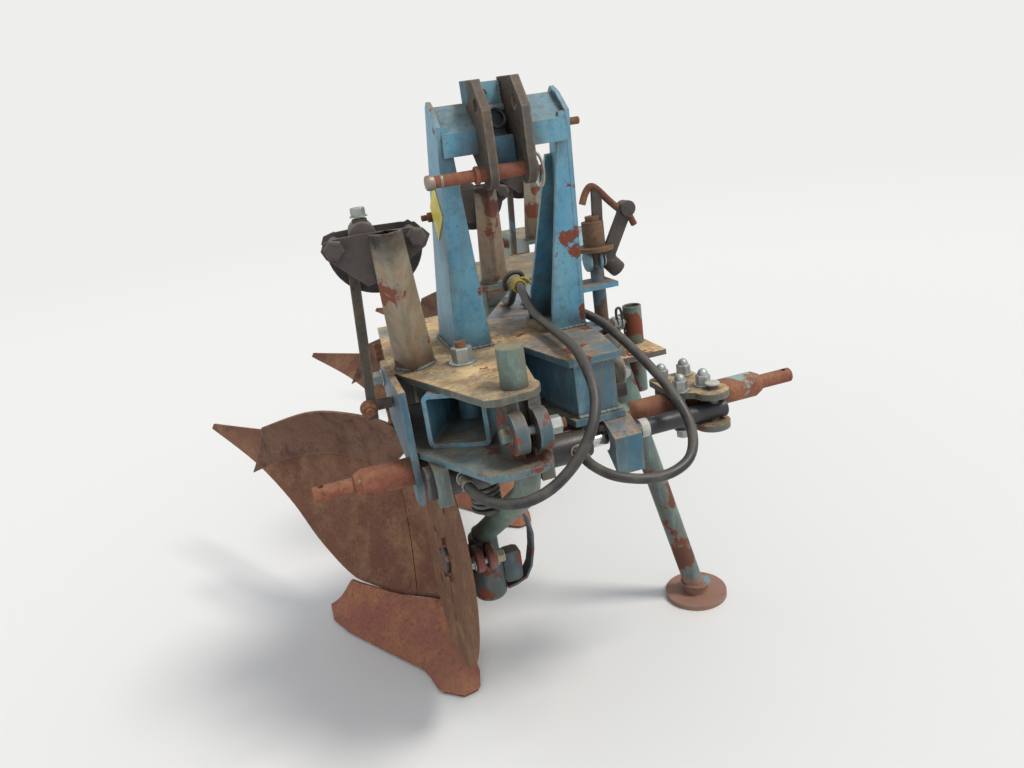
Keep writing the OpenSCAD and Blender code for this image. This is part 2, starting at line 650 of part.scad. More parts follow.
// Trash board: a curled strip in front of the moldboard's upper edge.
trash_low = [[-76, 314, 453], [-167, 404, 470], [-235, 471, 465], [-338, 576, 430], [-448, 690, 367]];
trash_top = [[-26, 226, 530], [-60, 245, 588], [-155, 359, 597], [-252, 455, 586], [-384, 609, 520]];
trash_out = smooth(trash_low, 3);
trash_in = smooth(trash_top, 3);
trash_grid = [for (i = [0 : len(trash_out) - 1]) [for (j = [0 : 3]) mix(trash_out[i], trash_in[i], j / 3)
    + [6, 8, 0] * sin(60 * j)]];
stay_d = 20;
module trash_boards() color(rust) place() for (k = [0 : 2]) at_body(k) {
    sheet(trash_grid, -6);
    bar([leg_x - leg_t - 2 * seat - stay_d * 0.07, 365, 503], trash_grid[3][1] + [stay_d / 4, 0, 0], stay_d);
}

module landsides() color(rust) place() for (k = [0 : 2]) at_body(k)
    side_plate([[135, 0], [640, 0], [640, 70], [560, 90], [215, 92], [186, 60]], 0, 12);

// Depth spindle and crank at the right rear.
spindle_at = [300, 500];
spindle_d = 34;
module spindle_plate(z) plate([[beam_right(455) - 40, 455], [spindle_at[0] + 34, 455], [spindle_at[0] + 34, 545],
    [beam_right(545) - 40, 545]], z, plate_t);
module depth_bracket() color(blue) place() difference() {
    union() {
        spindle_plate(plate_low);
        spindle_plate(beam_z + beam_h);
    }
    translate([spindle_at[0], spindle_at[1], 600]) cylinder(h = 300, d = spindle_d + 2 * fit_gap);
}
module depth_spindle() color(rust) place() translate([spindle_at[0], spindle_at[1], 0]) {
    translate([0, 0, 645]) cylinder(h = 300, d = spindle_d);
    translate([0, 0, plate_low - 14]) cylinder(h = 14, d = 50);
    translate([0, 0, 862]) cylinder(h = 10, d = 92);
    translate([0, 0, 872]) cylinder(h = 60, d = 54);
}
module depth_crank() color(black) place() translate([spindle_at[0], spindle_at[1], 0]) {
    translate([-12, -14, 945]) cube([34, 28, 30]);
    bar([10, 0, 960], [80, 0, 925], 22);
    translate([68, -20, 890]) cube([10, 40, 62]);
    bar([74, 0, 905], [40, 0, plate_top + 5], 18);
}

// Hoses.
hose_1_path = [[58, 505, 783], [54, 470, 784], [50, 430, 796], [48, 395, 822], [44, 350, 850], [38, 300, 853],
    [30, 240, 834], [26, 170, 816], [26, 100, 808], [20, 10, 806], [10, -75, 806], [5, -134, 780], [-1, -165, 753],
    [-16, -189, 725], [-38, -204, 697], [-67, -212, 668], [-108, -218, 643], [-150, -211, 628], [-186, -191, 626],
    [-210, -160, 630], [-219, -130, 636], [-220, -101, 638]];
hose_2_path = [[84, 430, 783], [98, 395, 785], [112, 355, 795], [121, 300, 800], [124, 240, 800], [126, 170, 800],
    [129, 105, 797], [137, 50, 782], [152, 0, 754], [168, -50, 718], [178, -90, 686], [183, -122, 654],
    [176, -148, 624], [156, -167, 602], [122, -178, 592], [84, -182, 592], [48, -177, 598], [14, -162, 608],
    [-8, -134, 621], [-14, -97, 630]];
function catmull(a, b, c, d, t) = 0.5 * ((2 * b) + (c - a) * t + (2 * a - 5 * b + 4 * c - d) * t * t
    + (3 * b - a - 3 * c + d) * t * t * t);
function smooth(p, n) = let (m = len(p)) concat([for (i = [0 : m - 2], s = [0 : n - 1])
    catmull(p[max(i - 1, 0)], p[i], p[i + 1], p[min(i + 2, m - 1)], s / n)], [p[m - 1]]);
function direction(p, i) = unit(p[min(i + 1, len(p) - 1)] - p[max(i - 1, 0)]);
// A round tube whose rings stand square to a line of points.
module rings_along(p, d, sides) {
    n = len(p);
    rings = [for (i = [0 : n - 1]) let (t = direction(p, i), a = unit(cross(t, [0.3, 0.2, 1])), b = cross(t, a))
        each [for (s = [0 : sides - 1]) p[i] + d / 2 * (cos(360 * s / sides) * a + sin(360 * s / sides) * b)]];
    faces = concat([[for (s = [0 : sides - 1]) s]],
        [for (i = [0 : n - 2], s = [0 : sides - 1]) each let (q = (s + 1) % sides, r = i * sides)
            [[r + s, r + sides + s, r + sides + q], [r + s, r + sides + q, r + q]]],
        [[for (s = [sides - 1 : -1 : 0]) (n - 1) * sides + s]]);
    polyhedron(rings, faces, convexity = 6);
}
module hose_1() color(black) place() rings_along(smooth(hose_1_path, 3), hose_d, 10);
module hose_2() color(black) place() rings_along(smooth(hose_2_path, 3), hose_d, 10);

main_beam();
head_upper_plate();
head_lower_plate();
beam_spacer();
coulter_clamp();
coulter_stalk();
coulter_hub();
coulter_disc();
mast_leg_left();
mast_leg_right();
mast_cross_member();
top_link_bracket();
top_link_pin();
frame_box();
cross_shaft();
shaft_clamp_plates();
left_bearing_plate();
right_bearing();
cylinder_barrel();
cylinder_rod();
cylinder_clamps();
rod_guide();
stand_arm();
stand_socket();
stand_leg();
stowage_tube();
body_bracket_1();
body_bracket_2();
body_bracket_3();
release_tower_1();
release_tower_2();
release_tower_3();
release_heads();
leaf_springs();
pull_rods();
body_leg_1();
body_leg_2();
body_leg_3();
share_1();
share_2();
share_3();
moldboard_1();
moldboard_2();
moldboard_3();
trash_boards();
landsides();
depth_bracket();
depth_spindle();
depth_crank();
hose_1();
hose_2();
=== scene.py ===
"""Weathered finish, fastenings, hoses and studio for a mounted moldboard plough."""

import math

import bmesh
import bpy
from mathutils import Matrix, Vector


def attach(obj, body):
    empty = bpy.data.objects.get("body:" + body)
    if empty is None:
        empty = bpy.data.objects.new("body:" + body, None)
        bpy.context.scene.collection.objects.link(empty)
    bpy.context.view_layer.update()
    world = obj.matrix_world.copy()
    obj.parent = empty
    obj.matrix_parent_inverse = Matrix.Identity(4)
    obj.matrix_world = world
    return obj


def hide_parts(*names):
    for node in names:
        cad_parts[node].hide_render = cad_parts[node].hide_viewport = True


bl_info = {
    "name": "Mounted plough dressing",
    "version": (1, 0, 0),
    "blender": (4, 5, 0),
    "location": "View3D > Sidebar > Plough",
    "description": "Paint, rust, fastenings, hoses and studio for a mounted plough",
    "category": "Object",
}

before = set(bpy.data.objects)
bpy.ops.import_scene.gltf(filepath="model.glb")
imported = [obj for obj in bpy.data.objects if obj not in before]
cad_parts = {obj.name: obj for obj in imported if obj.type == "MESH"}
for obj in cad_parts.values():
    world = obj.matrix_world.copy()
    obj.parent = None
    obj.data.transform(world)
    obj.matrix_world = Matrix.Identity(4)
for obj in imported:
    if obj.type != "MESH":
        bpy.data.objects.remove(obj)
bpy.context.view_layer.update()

# The plough is laid out from the middle of its cross shaft, in millimetres.
SHAFT_MIDDLE = Vector((0.0067, -1.1225, 0.0))
TRAVEL_ANGLE = math.radians(4)
BEAM_ANGLE = math.radians(28)
TIP = Vector((-239, 139, 0))
PITCH = Vector((725 * math.sin(BEAM_ANGLE), 725 * math.cos(BEAM_ANGLE), 0))
PLATE_TOP = 785
LEG_LEAN = math.atan(18 / 447)
UP = Vector((0, 0, 1))

# Faces that meet at less than this are shaded as one, and on hexagons at less than the second.
SMOOTH_ANGLE = math.radians(40)
FACET_ANGLE = math.radians(22)


def at(x, y, z):
    """A point of the plough, given in millimetres from the cross shaft's middle."""
    return SHAFT_MIDDLE + Vector((x, y, z)) / 1000


def on_body(k, x, y, z):
    """A point of body k, given in millimetres from its share's tip."""
    turn = Matrix.Rotation(-TRAVEL_ANGLE, 3, "Z")
    p = TIP + k * PITCH + turn @ Vector((x, y, z))
    return at(*p)


def on_cylinder(x):
    """A point of the cylinder's axis, in millimetres."""
    return (x, -58, 628)


def on_top_pin(x):
    """A point of the top-link pin's axis, in millimetres."""
    return (x, 35, 1105)


def body_direction(x, y, z):
    """A direction given in a body's own frame."""
    return Matrix.Rotation(-TRAVEL_ANGLE, 3, "Z") @ Vector((x, y, z))


def colour(code):
    """Linear colour of a six-digit screen colour."""
    parts = [int(code[i:i + 2], 16) / 255 for i in (0, 2, 4)]
    return [p / 12.92 if p <= 0.04045 else ((p + 0.055) / 1.055) ** 2.4 for p in parts] + [1.0]


# Mesh tools

def pick_only(*pieces):
    bpy.ops.object.select_all(action="DESELECT")
    for piece in pieces:
        piece.select_set(True)
    bpy.context.view_layer.objects.active = pieces[0]


def primitive(kind, name, **settings):
    """Adds a primitive with nothing else selected, and names it."""
    bpy.ops.object.select_all(action="DESELECT")
    getattr(bpy.ops.mesh, f"primitive_{kind}_add")(**settings)
    piece = bpy.context.object
    piece.name = piece.data.name = name
    return piece


def settle(piece):
    """Moves a piece's place, turn and scale into its mesh."""
    pick_only(piece)
    bpy.ops.object.transform_apply(location=True, rotation=True, scale=True)
    return piece


def apply_modifier(piece, kind, **settings):
    pick_only(piece)
    modifier = piece.modifiers.new(kind.title(), kind)
    for key, value in settings.items():
        setattr(modifier, key, value)
    bpy.ops.object.modifier_apply(modifier=modifier.name)
    return piece


def soften(piece, width, segments=2, angle=35):
    """Rounds the sharp edges and shades the rest smooth."""
    if width:
        apply_modifier(piece, "BEVEL", width=width, segments=segments, limit_method="ANGLE",
                       angle_limit=math.radians(angle), harden_normals=False)
    pick_only(piece)
    bpy.ops.object.shade_smooth_by_angle(angle=SMOOTH_ANGLE)
    return piece


def join(name, pieces):
    pick_only(*pieces)
    if len(pieces) > 1:
        bpy.ops.object.join()
    pieces[0].name = pieces[0].data.name = name
    return pieces[0]


def along(direction, spin=0.0):
    """Turns local +Z to a direction."""
    turn = Vector(direction).normalized().to_track_quat("Z", "Y").to_matrix().to_4x4()
    return turn @ Matrix.Rotation(spin, 4, "Z")


def stamp(source, name, places):
    """Copies a finished piece to several places, each copy with its own mesh, and joins them."""
    copies = []
    for number, place in enumerate(places):
        copy = bpy.data.objects.new(f"{name}_{number}", source.data.copy())
        bpy.context.scene.collection.objects.link(copy)
        copy.data.transform(place)
        copies.append(copy)
    bpy.data.objects.remove(source)
    return join(name, copies)


def dress(piece, body):
    """Attaches a piece to the body that it moves with."""
    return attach(piece, body)


def rod_between(name, start, end, radius):
    start, end = Vector(start), Vector(end)
    span = end - start
    rod = primitive("cylinder", name, vertices=24, radius=radius, depth=span.length)
    rod.data.transform(Matrix.Translation((start + end) / 2) @ along(span))
    return rod


def ring(name, centre, axis, radius, thickness, sides=32, tube=10):
    piece = primitive("torus", name, major_radius=radius, minor_radius=thickness,
                      major_segments=sides, minor_segments=tube)
    piece.data.transform(Matrix.Translation(centre) @ along(axis))
    return piece


def select_faces(piece, rule):
    """Opens a piece in edit mode with only the faces that pass the rule selected."""
    pick_only(piece)
    bpy.ops.object.mode_set(mode="EDIT")
    bpy.ops.mesh.select_mode(type="FACE")
    mesh = bmesh.from_edit_mesh(piece.data)
    for face in mesh.faces:
        face.select_set(bool(rule(face)))
    bmesh.update_edit_mesh(piece.data)


def leave_edit():
    bpy.ops.object.mode_set(mode="OBJECT")


def hex_head(name, across, height, chamfer=0.1):
    """A hexagon head or nut that stands on the origin."""
    piece = primitive("cylinder", name, vertices=6, radius=across / math.sqrt(3), depth=height,
                      location=(0, 0, height / 2))
    settle(piece)
    select_faces(piece, lambda face: face.normal.z > 0.9)
    bpy.ops.mesh.bevel(offset=across * chamfer, segments=2, affect="EDGES")
    leave_edit()
    soften(piece, across * 0.02, 1)
    bpy.ops.object.shade_smooth_by_angle(angle=FACET_ANGLE)
    return piece


def threaded_end(name, radius, length, start=0.0):
    """The end of a bolt with a thread, standing on the origin."""
    turns = max(3, int(length / (radius * 0.32)))
    piece = primitive("cylinder", name, vertices=20, radius=radius, depth=length,
                      location=(0, 0, start + length / 2))
    settle(piece)
    select_faces(piece, lambda face: abs(face.normal.z) < 0.5)
    bpy.ops.mesh.subdivide(number_cuts=2 * turns - 1)
    leave_edit()
    for vertex in piece.data.vertices:
        step = round((vertex.co.z - start) / length * 2 * turns)
        if step % 2 and 0 < step < 2 * turns:
            vertex.co.x *= 0.9
            vertex.co.y *= 0.9
    return soften(piece, 0)


def washer(name, radius, height):
    piece = primitive("cylinder", name, vertices=32, radius=radius, depth=height,
                      location=(0, 0, height / 2))
    settle(piece)
    return soften(piece, height * 0.25)


def face_outwards(piece):
    pick_only(piece)
    bpy.ops.object.mode_set(mode="EDIT")
    bpy.ops.mesh.select_all(action="SELECT")
    bpy.ops.mesh.remove_doubles(threshold=0.00002)
    bpy.ops.mesh.normals_make_consistent(inside=False)
    leave_edit()
    return piece


def painted(piece, finish):
    piece.data.materials.clear()
    piece.data.materials.append(MATERIALS[finish])
    return piece


def moved(piece, turn):
    piece.data.transform(turn)
    return piece


def lift(height):
    return Matrix.Translation((0, 0, height))


def set_at(point, direction, spin=0.0):
    """The place of a fastening that stands on a point of the plough, in millimetres."""
    return Matrix.Translation(at(*point)) @ along(direction, spin)


def set_on_body(k, point, direction, spin=0.0):
    """The place of a fastening that stands on a point of body k, in millimetres."""
    return Matrix.Translation(on_body(k, *point)) @ along(direction, spin)


def block(name, size, centre=(0, 0, 0), bevel=0.0015):
    piece = primitive("cube", name, size=1)
    piece.scale = size
    piece.location = centre
    settle(piece)
    return soften(piece, bevel)


def cut_plate(name, outline, thickness, bevel=0.0012):
    """A plate cut to an outline in its own XY plane."""
    plate = primitive("circle", name, vertices=len(outline), radius=1, fill_type="NGON")
    settle(plate)
    for vertex, (x, y) in zip(plate.data.vertices, outline):
        vertex.co = (x, y, 0)
    apply_modifier(plate, "SOLIDIFY", thickness=thickness, offset=0)
    face_outwards(plate)
    return soften(plate, bevel, 1)


def round_plate(name, radius, thickness, vertices=40, bevel=0.0012):
    plate = primitive("cylinder", name, vertices=vertices, radius=radius, depth=thickness)
    return soften(plate, bevel)


def route_curve(name, route, radius, resolution=4):
    """A round rod or hose along a line of places."""
    curve = bpy.data.curves.new(name, "CURVE")
    curve.dimensions = "3D"
    curve.bevel_depth = radius
    curve.bevel_resolution = resolution
    curve.use_fill_caps = True
    spline = curve.splines.new("POLY")
    spline.points.add(len(route) - 1)
    for point, place in zip(spline.points, route):
        point.co = (*place, 1)
    spline.use_smooth = True
    piece = bpy.data.objects.new(name, curve)
    bpy.context.scene.collection.objects.link(piece)
    return piece


def bent_rod(name, points, radius, steps=5):
    """A solid bent rod through points of the plough, in millimetres."""
    piece = route_curve(name, [at(*p) for p in smooth_route(points, steps)], radius, 3)
    pick_only(piece)
    bpy.ops.object.convert(target="MESH")
    piece = bpy.context.object
    piece.name = piece.data.name = name
    face_outwards(piece)
    return soften(piece, 0)


def straight_rod(name, start, end, radius, bevel=0.001):
    return soften(rod_between(name, at(*start), at(*end), radius), bevel, 2, 60)


# Proportions of a fastening, as shares of its size across the flats
WASHER_RADIUS, WASHER_HEIGHT = 0.69, 0.12
HEAD_HEIGHT, NUT_HEIGHT = 0.62, 0.78
END_RADIUS, DOME_RADIUS = 0.31, 0.42


def fastener(name, across, kind="nut", reach=0.4, metal="zinc"):
    """A washer with a nut, dome nut or bolt head on it, standing on the origin."""
    thick = across * WASHER_HEIGHT
    tall = across * (HEAD_HEIGHT if kind == "head" else NUT_HEIGHT)
    parts = [painted(washer(name + "_washer", across * WASHER_RADIUS, thick), metal),
             painted(moved(hex_head(name + "_hex", across, tall), lift(thick * 0.98)), metal)]
    top = thick + tall
    if kind == "nut":
        parts.append(painted(threaded_end(name + "_end", across * END_RADIUS, across * reach,
                                          top - across * 0.04), "bolt_rust"))
    if kind == "dome":
        dome = primitive("uv_sphere", name + "_dome", segments=20, ring_count=12,
                         radius=across * DOME_RADIUS)
        parts.append(painted(soften(moved(dome, lift(top) @ Matrix.Diagonal((1, 1, 1.15, 1))), 0),
                             metal))
    return join(name, parts)


def fitted(name, across, kind, point, direction, spin=0.0, **looks):
    """A fastening set on a point of the plough, in millimetres."""
    return moved(fastener(name, across, kind, **looks), set_at(point, direction, spin))


def rods(*rows):
    """Straight rods, each a name, finish, start, end, radius and, where given, a bevel."""
    return [painted(straight_rod(name, *sizes), finish) for name, finish, *sizes in rows]


def wire(name, finish, points, radius, steps=5):
    return painted(bent_rod(name, points, radius, steps), finish)


def put(piece, x, y, z):
    """Moves a piece from the origin to a point of the plough, in millimetres."""
    return moved(piece, Matrix.Translation(at(x, y, z)))


def weld(name, line, radius):
    """A ripple of weld along a line of places."""
    bead = primitive("ico_sphere", name, subdivisions=2, radius=radius)
    soften(bead, 0)
    places = []
    for start, end in zip(line, line[1:]):
        span = end - start
        count = max(1, round(span.length / (radius * 1.05)))
        for number in range(count):
            wobble = 1 + 0.18 * math.sin(number * 2.4 + start.x * 90)
            places.append(Matrix.Translation(start + span * number / count)
                          @ Matrix.Scale(wobble, 4))
    return painted(stamp(bead, name, places), "weld")


# Finishes

class Nodes:
    """Adds nodes to one tree and links them."""

    def __init__(self, tree):
        self.tree = tree

    def add(self, kind, output=0, sockets=None, **settings):
        node = self.tree.nodes.new("ShaderNode" + kind)
        for key, value in settings.items():
            setattr(node, key, value)
        for key, value in (sockets or {}).items():
            socket = node.inputs[key]
            if isinstance(value, bpy.types.NodeSocket):
                self.tree.links.new(value, socket)
            else:
                socket.default_value = value
        return node.outputs[output]

    def mix(self, share, first, second):
        return self.add("Mix", 2, {0: share, 6: first, 7: second}, data_type="RGBA")

    def blend(self, share, first, second):
        return self.add("Mix", 0, {0: share, 2: first, 3: second}, data_type="FLOAT")

    def level(self, value, low, high, out_low=0.0, out_high=1.0):
        return self.add("MapRange", 0, {0: value, 1: low, 2: high, 3: out_low, 4: out_high})

    def noise(self, vector, scale, detail=5.0, roughness=0.55):
        return self.add("TexNoise", 0, {"Vector": vector, "Scale": scale, "Detail": detail,
                                        "Roughness": roughness})

    def patches(self, vector, low, high, scale, detail=5.0, roughness=0.55):
        """Ragged patches, 0 where the noise is under low and 1 where it is over high."""
        return self.level(self.noise(vector, scale, detail, roughness), low, high)

    def tint(self, base, mask, code, share=1.0):
        """Lays a colour over the base where the mask is high."""
        if share != 1.0:
            mask = self.math("MULTIPLY", mask, share)
        return self.mix(mask, base, colour(code))

    def math(self, operation, first, second):
        return self.add("Math", 0, {0: first, 1: second}, operation=operation)

    def stretch(self, vector, scale):
        return self.add("Mapping", 0, {"Vector": vector, "Scale": scale})

    def here(self):
        return self.add("TexCoord", "Object")

    def seen_ray(self):
        """1 for rays that only look: from the camera, off a gloss or through glass."""
        rays = [self.add("LightPath", f"Is {kind} Ray")
                for kind in ("Camera", "Glossy", "Transmission")]
        return self.math("MAXIMUM", self.math("MAXIMUM", rays[0], rays[1]), rays[2])


def weathering_group():
    """Masks of worn edges, settled dust on top, chipped patches, their rims and runs of rust."""
    tree = bpy.data.node_groups.get("Weathering")
    if tree:
        return tree
    tree = bpy.data.node_groups.new("Weathering", "ShaderNodeTree")
    face = tree.interface
    for name, default in (("Edge Size", 0.004), ("Chip Scale", 14.0), ("Chip Amount", 0.4)):
        face.new_socket(name, in_out="INPUT", socket_type="NodeSocketFloat").default_value = default
    for name in ("Edge", "Top", "Chips", "Rim", "Runs", "Grain", "Corner Shade", "Specks"):
        face.new_socket(name, in_out="OUTPUT", socket_type="NodeSocketFloat")
    n = Nodes(tree)
    given = tree.nodes.new("NodeGroupInput")
    result = tree.nodes.new("NodeGroupOutput")
    here = n.here()
    normal = n.add("NewGeometry", "Normal")
    rounded = n.add("Bevel", 0, {"Radius": given.outputs["Edge Size"]}, samples=4)
    flatness = n.add("VectorMath", "Value", {0: normal, 1: rounded}, operation="DOT_PRODUCT")
    rough_edge = n.patches(here, 0.35, 0.62, 55, 4)
    edge = n.math("MULTIPLY", n.level(flatness, 0.985, 0.86), rough_edge)
    steep = n.add("SeparateXYZ", "Z", {0: normal})
    settled = n.patches(here, 0.30, 0.58, 7, 6, 0.62)
    top = n.math("MULTIPLY", n.level(steep, 0.35, 0.85), settled)
    patches = n.noise(here, given.outputs["Chip Scale"], 8, 0.6)
    spread = n.add("Math", 0, {0: n.noise(here, 3.1, 2), 1: 0.35, 2: patches},
                   operation="MULTIPLY_ADD")
    threshold = n.level(given.outputs["Chip Amount"], 0, 1, 0.98, 0.66)
    past = n.math("SUBTRACT", spread, threshold)
    runs = n.patches(n.stretch(here, (26, 26, 2.2)), 0.5, 0.72, 1.0, 5)
    grain = n.noise(here, 160, 3)
    # Painted shade: the ambient occlusion marks corners and recesses, broken into ragged patches,
    # for the finishes to darken.
    open_sky = n.add("AmbientOcclusion", "AO", {"Distance": 0.05}, samples=4)
    corner_shade = n.math("MULTIPLY", n.level(open_sky, 0.92, 0.45), n.patches(here, 0.2, 0.55, 18, 4))
    dots = n.patches(here, 0.60, 0.68, 210, 4, 0.7)
    specks = n.math("MULTIPLY", dots, n.patches(here, 0.34, 0.56, 9, 4, 0.6))
    for name, value in (("Edge", edge), ("Top", top), ("Chips", n.level(past, 0.012, 0.03)),
                        ("Rim", n.level(past, -0.012, 0.004)), ("Runs", runs), ("Grain", grain),
                        ("Corner Shade", corner_shade), ("Specks", specks)):
        tree.links.new(value, result.inputs[name])
    return tree


def new_material(name):
    material = bpy.data.materials.new(name)
    material.use_nodes = True
    tree = material.node_tree
    tree.nodes.clear()
    n = Nodes(tree)
    shader = tree.nodes.new("ShaderNodeBsdfPrincipled")
    output = tree.nodes.new("ShaderNodeOutputMaterial")
    tree.links.new(shader.outputs[0], output.inputs[0])
    return material, n, shader


def weathering(n, edge, scale, amount):
    """Places the weathering group in a material with its own values."""
    node = n.tree.nodes.new("ShaderNodeGroup")
    node.node_tree = weathering_group()
    node.inputs["Edge Size"].default_value = edge
    node.inputs["Chip Scale"].default_value = scale
    node.inputs["Chip Amount"].default_value = amount
    return node.outputs


def feed(n, shader, base, roughness, height, strength, distance):
    n.tree.links.new(base, shader.inputs["Base Color"])
    n.tree.links.new(roughness, shader.inputs["Roughness"])
    bump = n.add("Bump", 0, {"Height": height, "Strength": strength, "Distance": distance})
    n.tree.links.new(bump, shader.inputs["Normal"])


def worn_paint(name, first, second, film=0.75, amount=0.4, scale=14.0, grime=0.35,
               film_colour="8f7550", rust_colour="7c4331", film_dark="7a583b", zone=None):
    """Enamel with dust and rust film on top, painted shade in corners, specks, chips and worn
    edges.

    A zone is a height, a second height and the colour that the paint turns to between them."""
    material, n, shader = new_material(name)
    masks = weathering(n, 0.005, scale, amount)
    here = n.here()
    cloud = n.patches(here, 0.36, 0.66, 5.5, 6, 0.62)
    base = n.mix(cloud, colour(first), colour(second))
    faded = n.patches(n.stretch(here, (60, 60, 14)), 0.50, 0.74, 1.0, 6, 0.7)
    base = n.tint(base, faded, "93a9a8", 0.45)
    blotch = n.patches(here, 0.50, 0.72, 42, 6, 0.72)
    base = n.tint(base, blotch, "3a5560", 0.5)
    base = n.tint(base, masks["Specks"], "65402f", 0.85)
    base = n.tint(base, masks["Runs"], "6b5e48", grime)
    tan = n.mix(n.patches(here, 0.40, 0.62, 22, 6, 0.68), colour(film_colour),
                colour(film_dark))
    tan = n.mix(n.patches(here, 0.52, 0.70, 95, 4, 0.7), tan, colour("51463a"))
    base = n.mix(n.math("MULTIPLY", masks["Top"], film), base, tan)
    base = n.tint(base, masks["Rim"], "79463a")
    base = n.tint(base, masks["Chips"], rust_colour)
    # Painted shade: corners and recesses turn dark brown.
    base = n.tint(base, masks["Corner Shade"], "453a30", 0.8)
    if zone:
        height_here = n.add("SeparateXYZ", "Z", {0: here})
        ragged = n.math("ADD", height_here, n.level(n.noise(here, 14, 5), 0.3, 0.7, -0.03, 0.03))
        base = n.mix(n.level(ragged, zone[0], zone[1]), base, colour(zone[2]))
    edge_mix = n.mix(n.patches(here, 0.45, 0.6, 34, 3), colour("8c8f80"), colour("74452f"))
    base = n.mix(n.math("MULTIPLY", masks["Edge"], 0.9), base, edge_mix)
    dull = n.math("MAXIMUM", n.math("MULTIPLY", masks["Top"], film), masks["Rim"])
    dull = n.math("ADD", dull, n.math("MULTIPLY", masks["Grain"], 0.3))
    roughness = n.level(dull, 0, 1.2, 0.4, 0.9)
    height = n.math("SUBTRACT", n.math("MULTIPLY", masks["Grain"], 0.35), masks["Rim"])
    height = n.math("SUBTRACT", height, n.math("MULTIPLY", masks["Specks"], 0.5))
    feed(n, shader, base, roughness, height, 0.4, 0.0012)
    shader.inputs["Specular IOR Level"].default_value = 0.4
    return material


def rusted_steel(name, first, second, third, bright="a0683c", pit_scale=60.0, film=0.4,
                 paint=None, paint_amount=0.0):
    """Rolled steel rusted all over, with brighter rust on edges and pits."""
    material, n, shader = new_material(name)
    masks = weathering(n, 0.006, 9.0, 0.6)
    here = n.here()
    base = n.mix(n.patches(here, 0.36, 0.64, 3.4, 5, 0.6), colour(first), colour(second))
    base = n.mix(n.patches(here, 0.47, 0.66, 13, 6, 0.68), base, colour(third))
    pits = n.patches(here, 0.60, 0.70, pit_scale, 6, 0.72)
    base = n.tint(base, pits, "40291f", 0.7)
    base = n.tint(base, n.patches(here, 0.46, 0.66, 120, 5, 0.75), "4b3024", 0.45)
    base = n.tint(base, masks["Top"], "937455", film)
    # Painted shade: corners and recesses turn dark brown.
    base = n.tint(base, masks["Corner Shade"], "3a2a22", 0.6)
    if paint:
        kept = n.level(n.noise(here, 7.1, 7, 0.6), 0.66 - paint_amount, 0.69 - paint_amount)
        base = n.tint(base, kept, paint)
    base = n.tint(base, masks["Edge"], bright, 0.8)
    roughness = n.level(masks["Grain"], 0.3, 0.7, 0.66, 0.92)
    height = n.math("SUBTRACT", n.math("MULTIPLY", masks["Grain"], 0.6), pits)
    feed(n, shader, base, roughness, height, 0.45, 0.0012)
    shader.inputs["Specular IOR Level"].default_value = 0.3
    return material


def plain_metal(name, base_code, dark_code, metallic, low, high, scuffs=0.0, scuff_code="d8d8d4"):
    """Plated or painted metal with handling marks."""
    material, n, shader = new_material(name)
    here = n.here()
    masks = weathering(n, 0.003, 20.0, 0.3)
    base = n.mix(n.patches(here, 0.38, 0.68, 26, 5, 0.65), colour(base_code), colour(dark_code))
    if scuffs:
        marks = n.patches(n.stretch(here, (40, 95, 95)), 0.60, 0.66, 1.0, 6, 0.7)
        patch = n.patches(here, 0.44, 0.56, 9, 3)
        base = n.mix(n.math("MULTIPLY", n.math("MULTIPLY", marks, patch), scuffs), base,
                     colour(scuff_code))
    base = n.tint(base, masks["Top"], "8a7a60", 0.22)
    base = n.tint(base, masks["Edge"], scuff_code, 0.5)
    roughness = n.level(n.noise(here, 48, 4), 0.3, 0.7, low, high)
    feed(n, shader, base, roughness, masks["Grain"], 0.2, 0.0006)
    shader.inputs["Metallic"].default_value = metallic
    return material


def rod_finish(name):
    """Chrome on the thin part of the cylinder's rod, scuffed black paint on the thick part."""
    material, n, shader = new_material(name)
    here = n.here()
    along_x = n.add("SeparateXYZ", "X", {0: here})
    painted_part = n.math("GREATER_THAN", along_x, at(110, 0, 0).x)
    marks = n.patches(n.stretch(here, (30, 90, 90)), 0.60, 0.66, 1.0, 6, 0.7)
    patch = n.patches(here, 0.46, 0.56, 8, 3)
    black = n.mix(n.math("MULTIPLY", marks, patch), colour("2b2b2e"), colour("d2d2cc"))
    wiped = n.mix(n.patches(here, 0.4, 0.7, 30, 4), colour("d9dcdc"), colour("a9a59d"))
    base = n.mix(painted_part, wiped, black)
    roughness = n.blend(painted_part, n.level(n.noise(here, 48, 4), 0.3, 0.7, 0.14, 0.3),
                        n.level(n.noise(here, 40, 4), 0.3, 0.7, 0.35, 0.6))
    n.tree.links.new(n.level(painted_part, 0, 1, 1, 0), shader.inputs["Metallic"])
    feed(n, shader, base, roughness, n.noise(here, 160, 3), 0.15, 0.0005)
    return material


def hose_rubber(name):
    """Black rubber hose with dust in patches."""
    material, n, shader = new_material(name)
    here = n.here()
    dust = n.patches(here, 0.42, 0.72, 24, 5, 0.6)
    base = n.mix(n.math("MULTIPLY", dust, 0.8), colour("222326"), colour("625c53"))
    up = n.add("SeparateXYZ", "Z", {0: n.add("NewGeometry", "Normal")})
    base = n.tint(base, n.level(up, 0.2, 0.9), "6c6458", 0.3)
    height = n.noise(here, 190, 3)
    feed(n, shader, base, n.level(dust, 0, 1, 0.42, 0.75), height, 0.25, 0.0006)
    return material


def sign_yellow(name):
    material, n, shader = new_material(name)
    here = n.here()
    fade = n.patches(here, 0.40, 0.70, 16, 5, 0.6)
    base = n.mix(fade, colour("e8d335"), colour("c9b24a"))
    scratches = n.patches(n.stretch(here, (70, 70, 9)), 0.66, 0.72, 1.0, 4)
    base = n.tint(base, scratches, "8d8d78")
    feed(n, shader, base, n.level(fade, 0, 1, 0.4, 0.7), fade, 0.15, 0.0004)
    return material


MATERIALS = {}


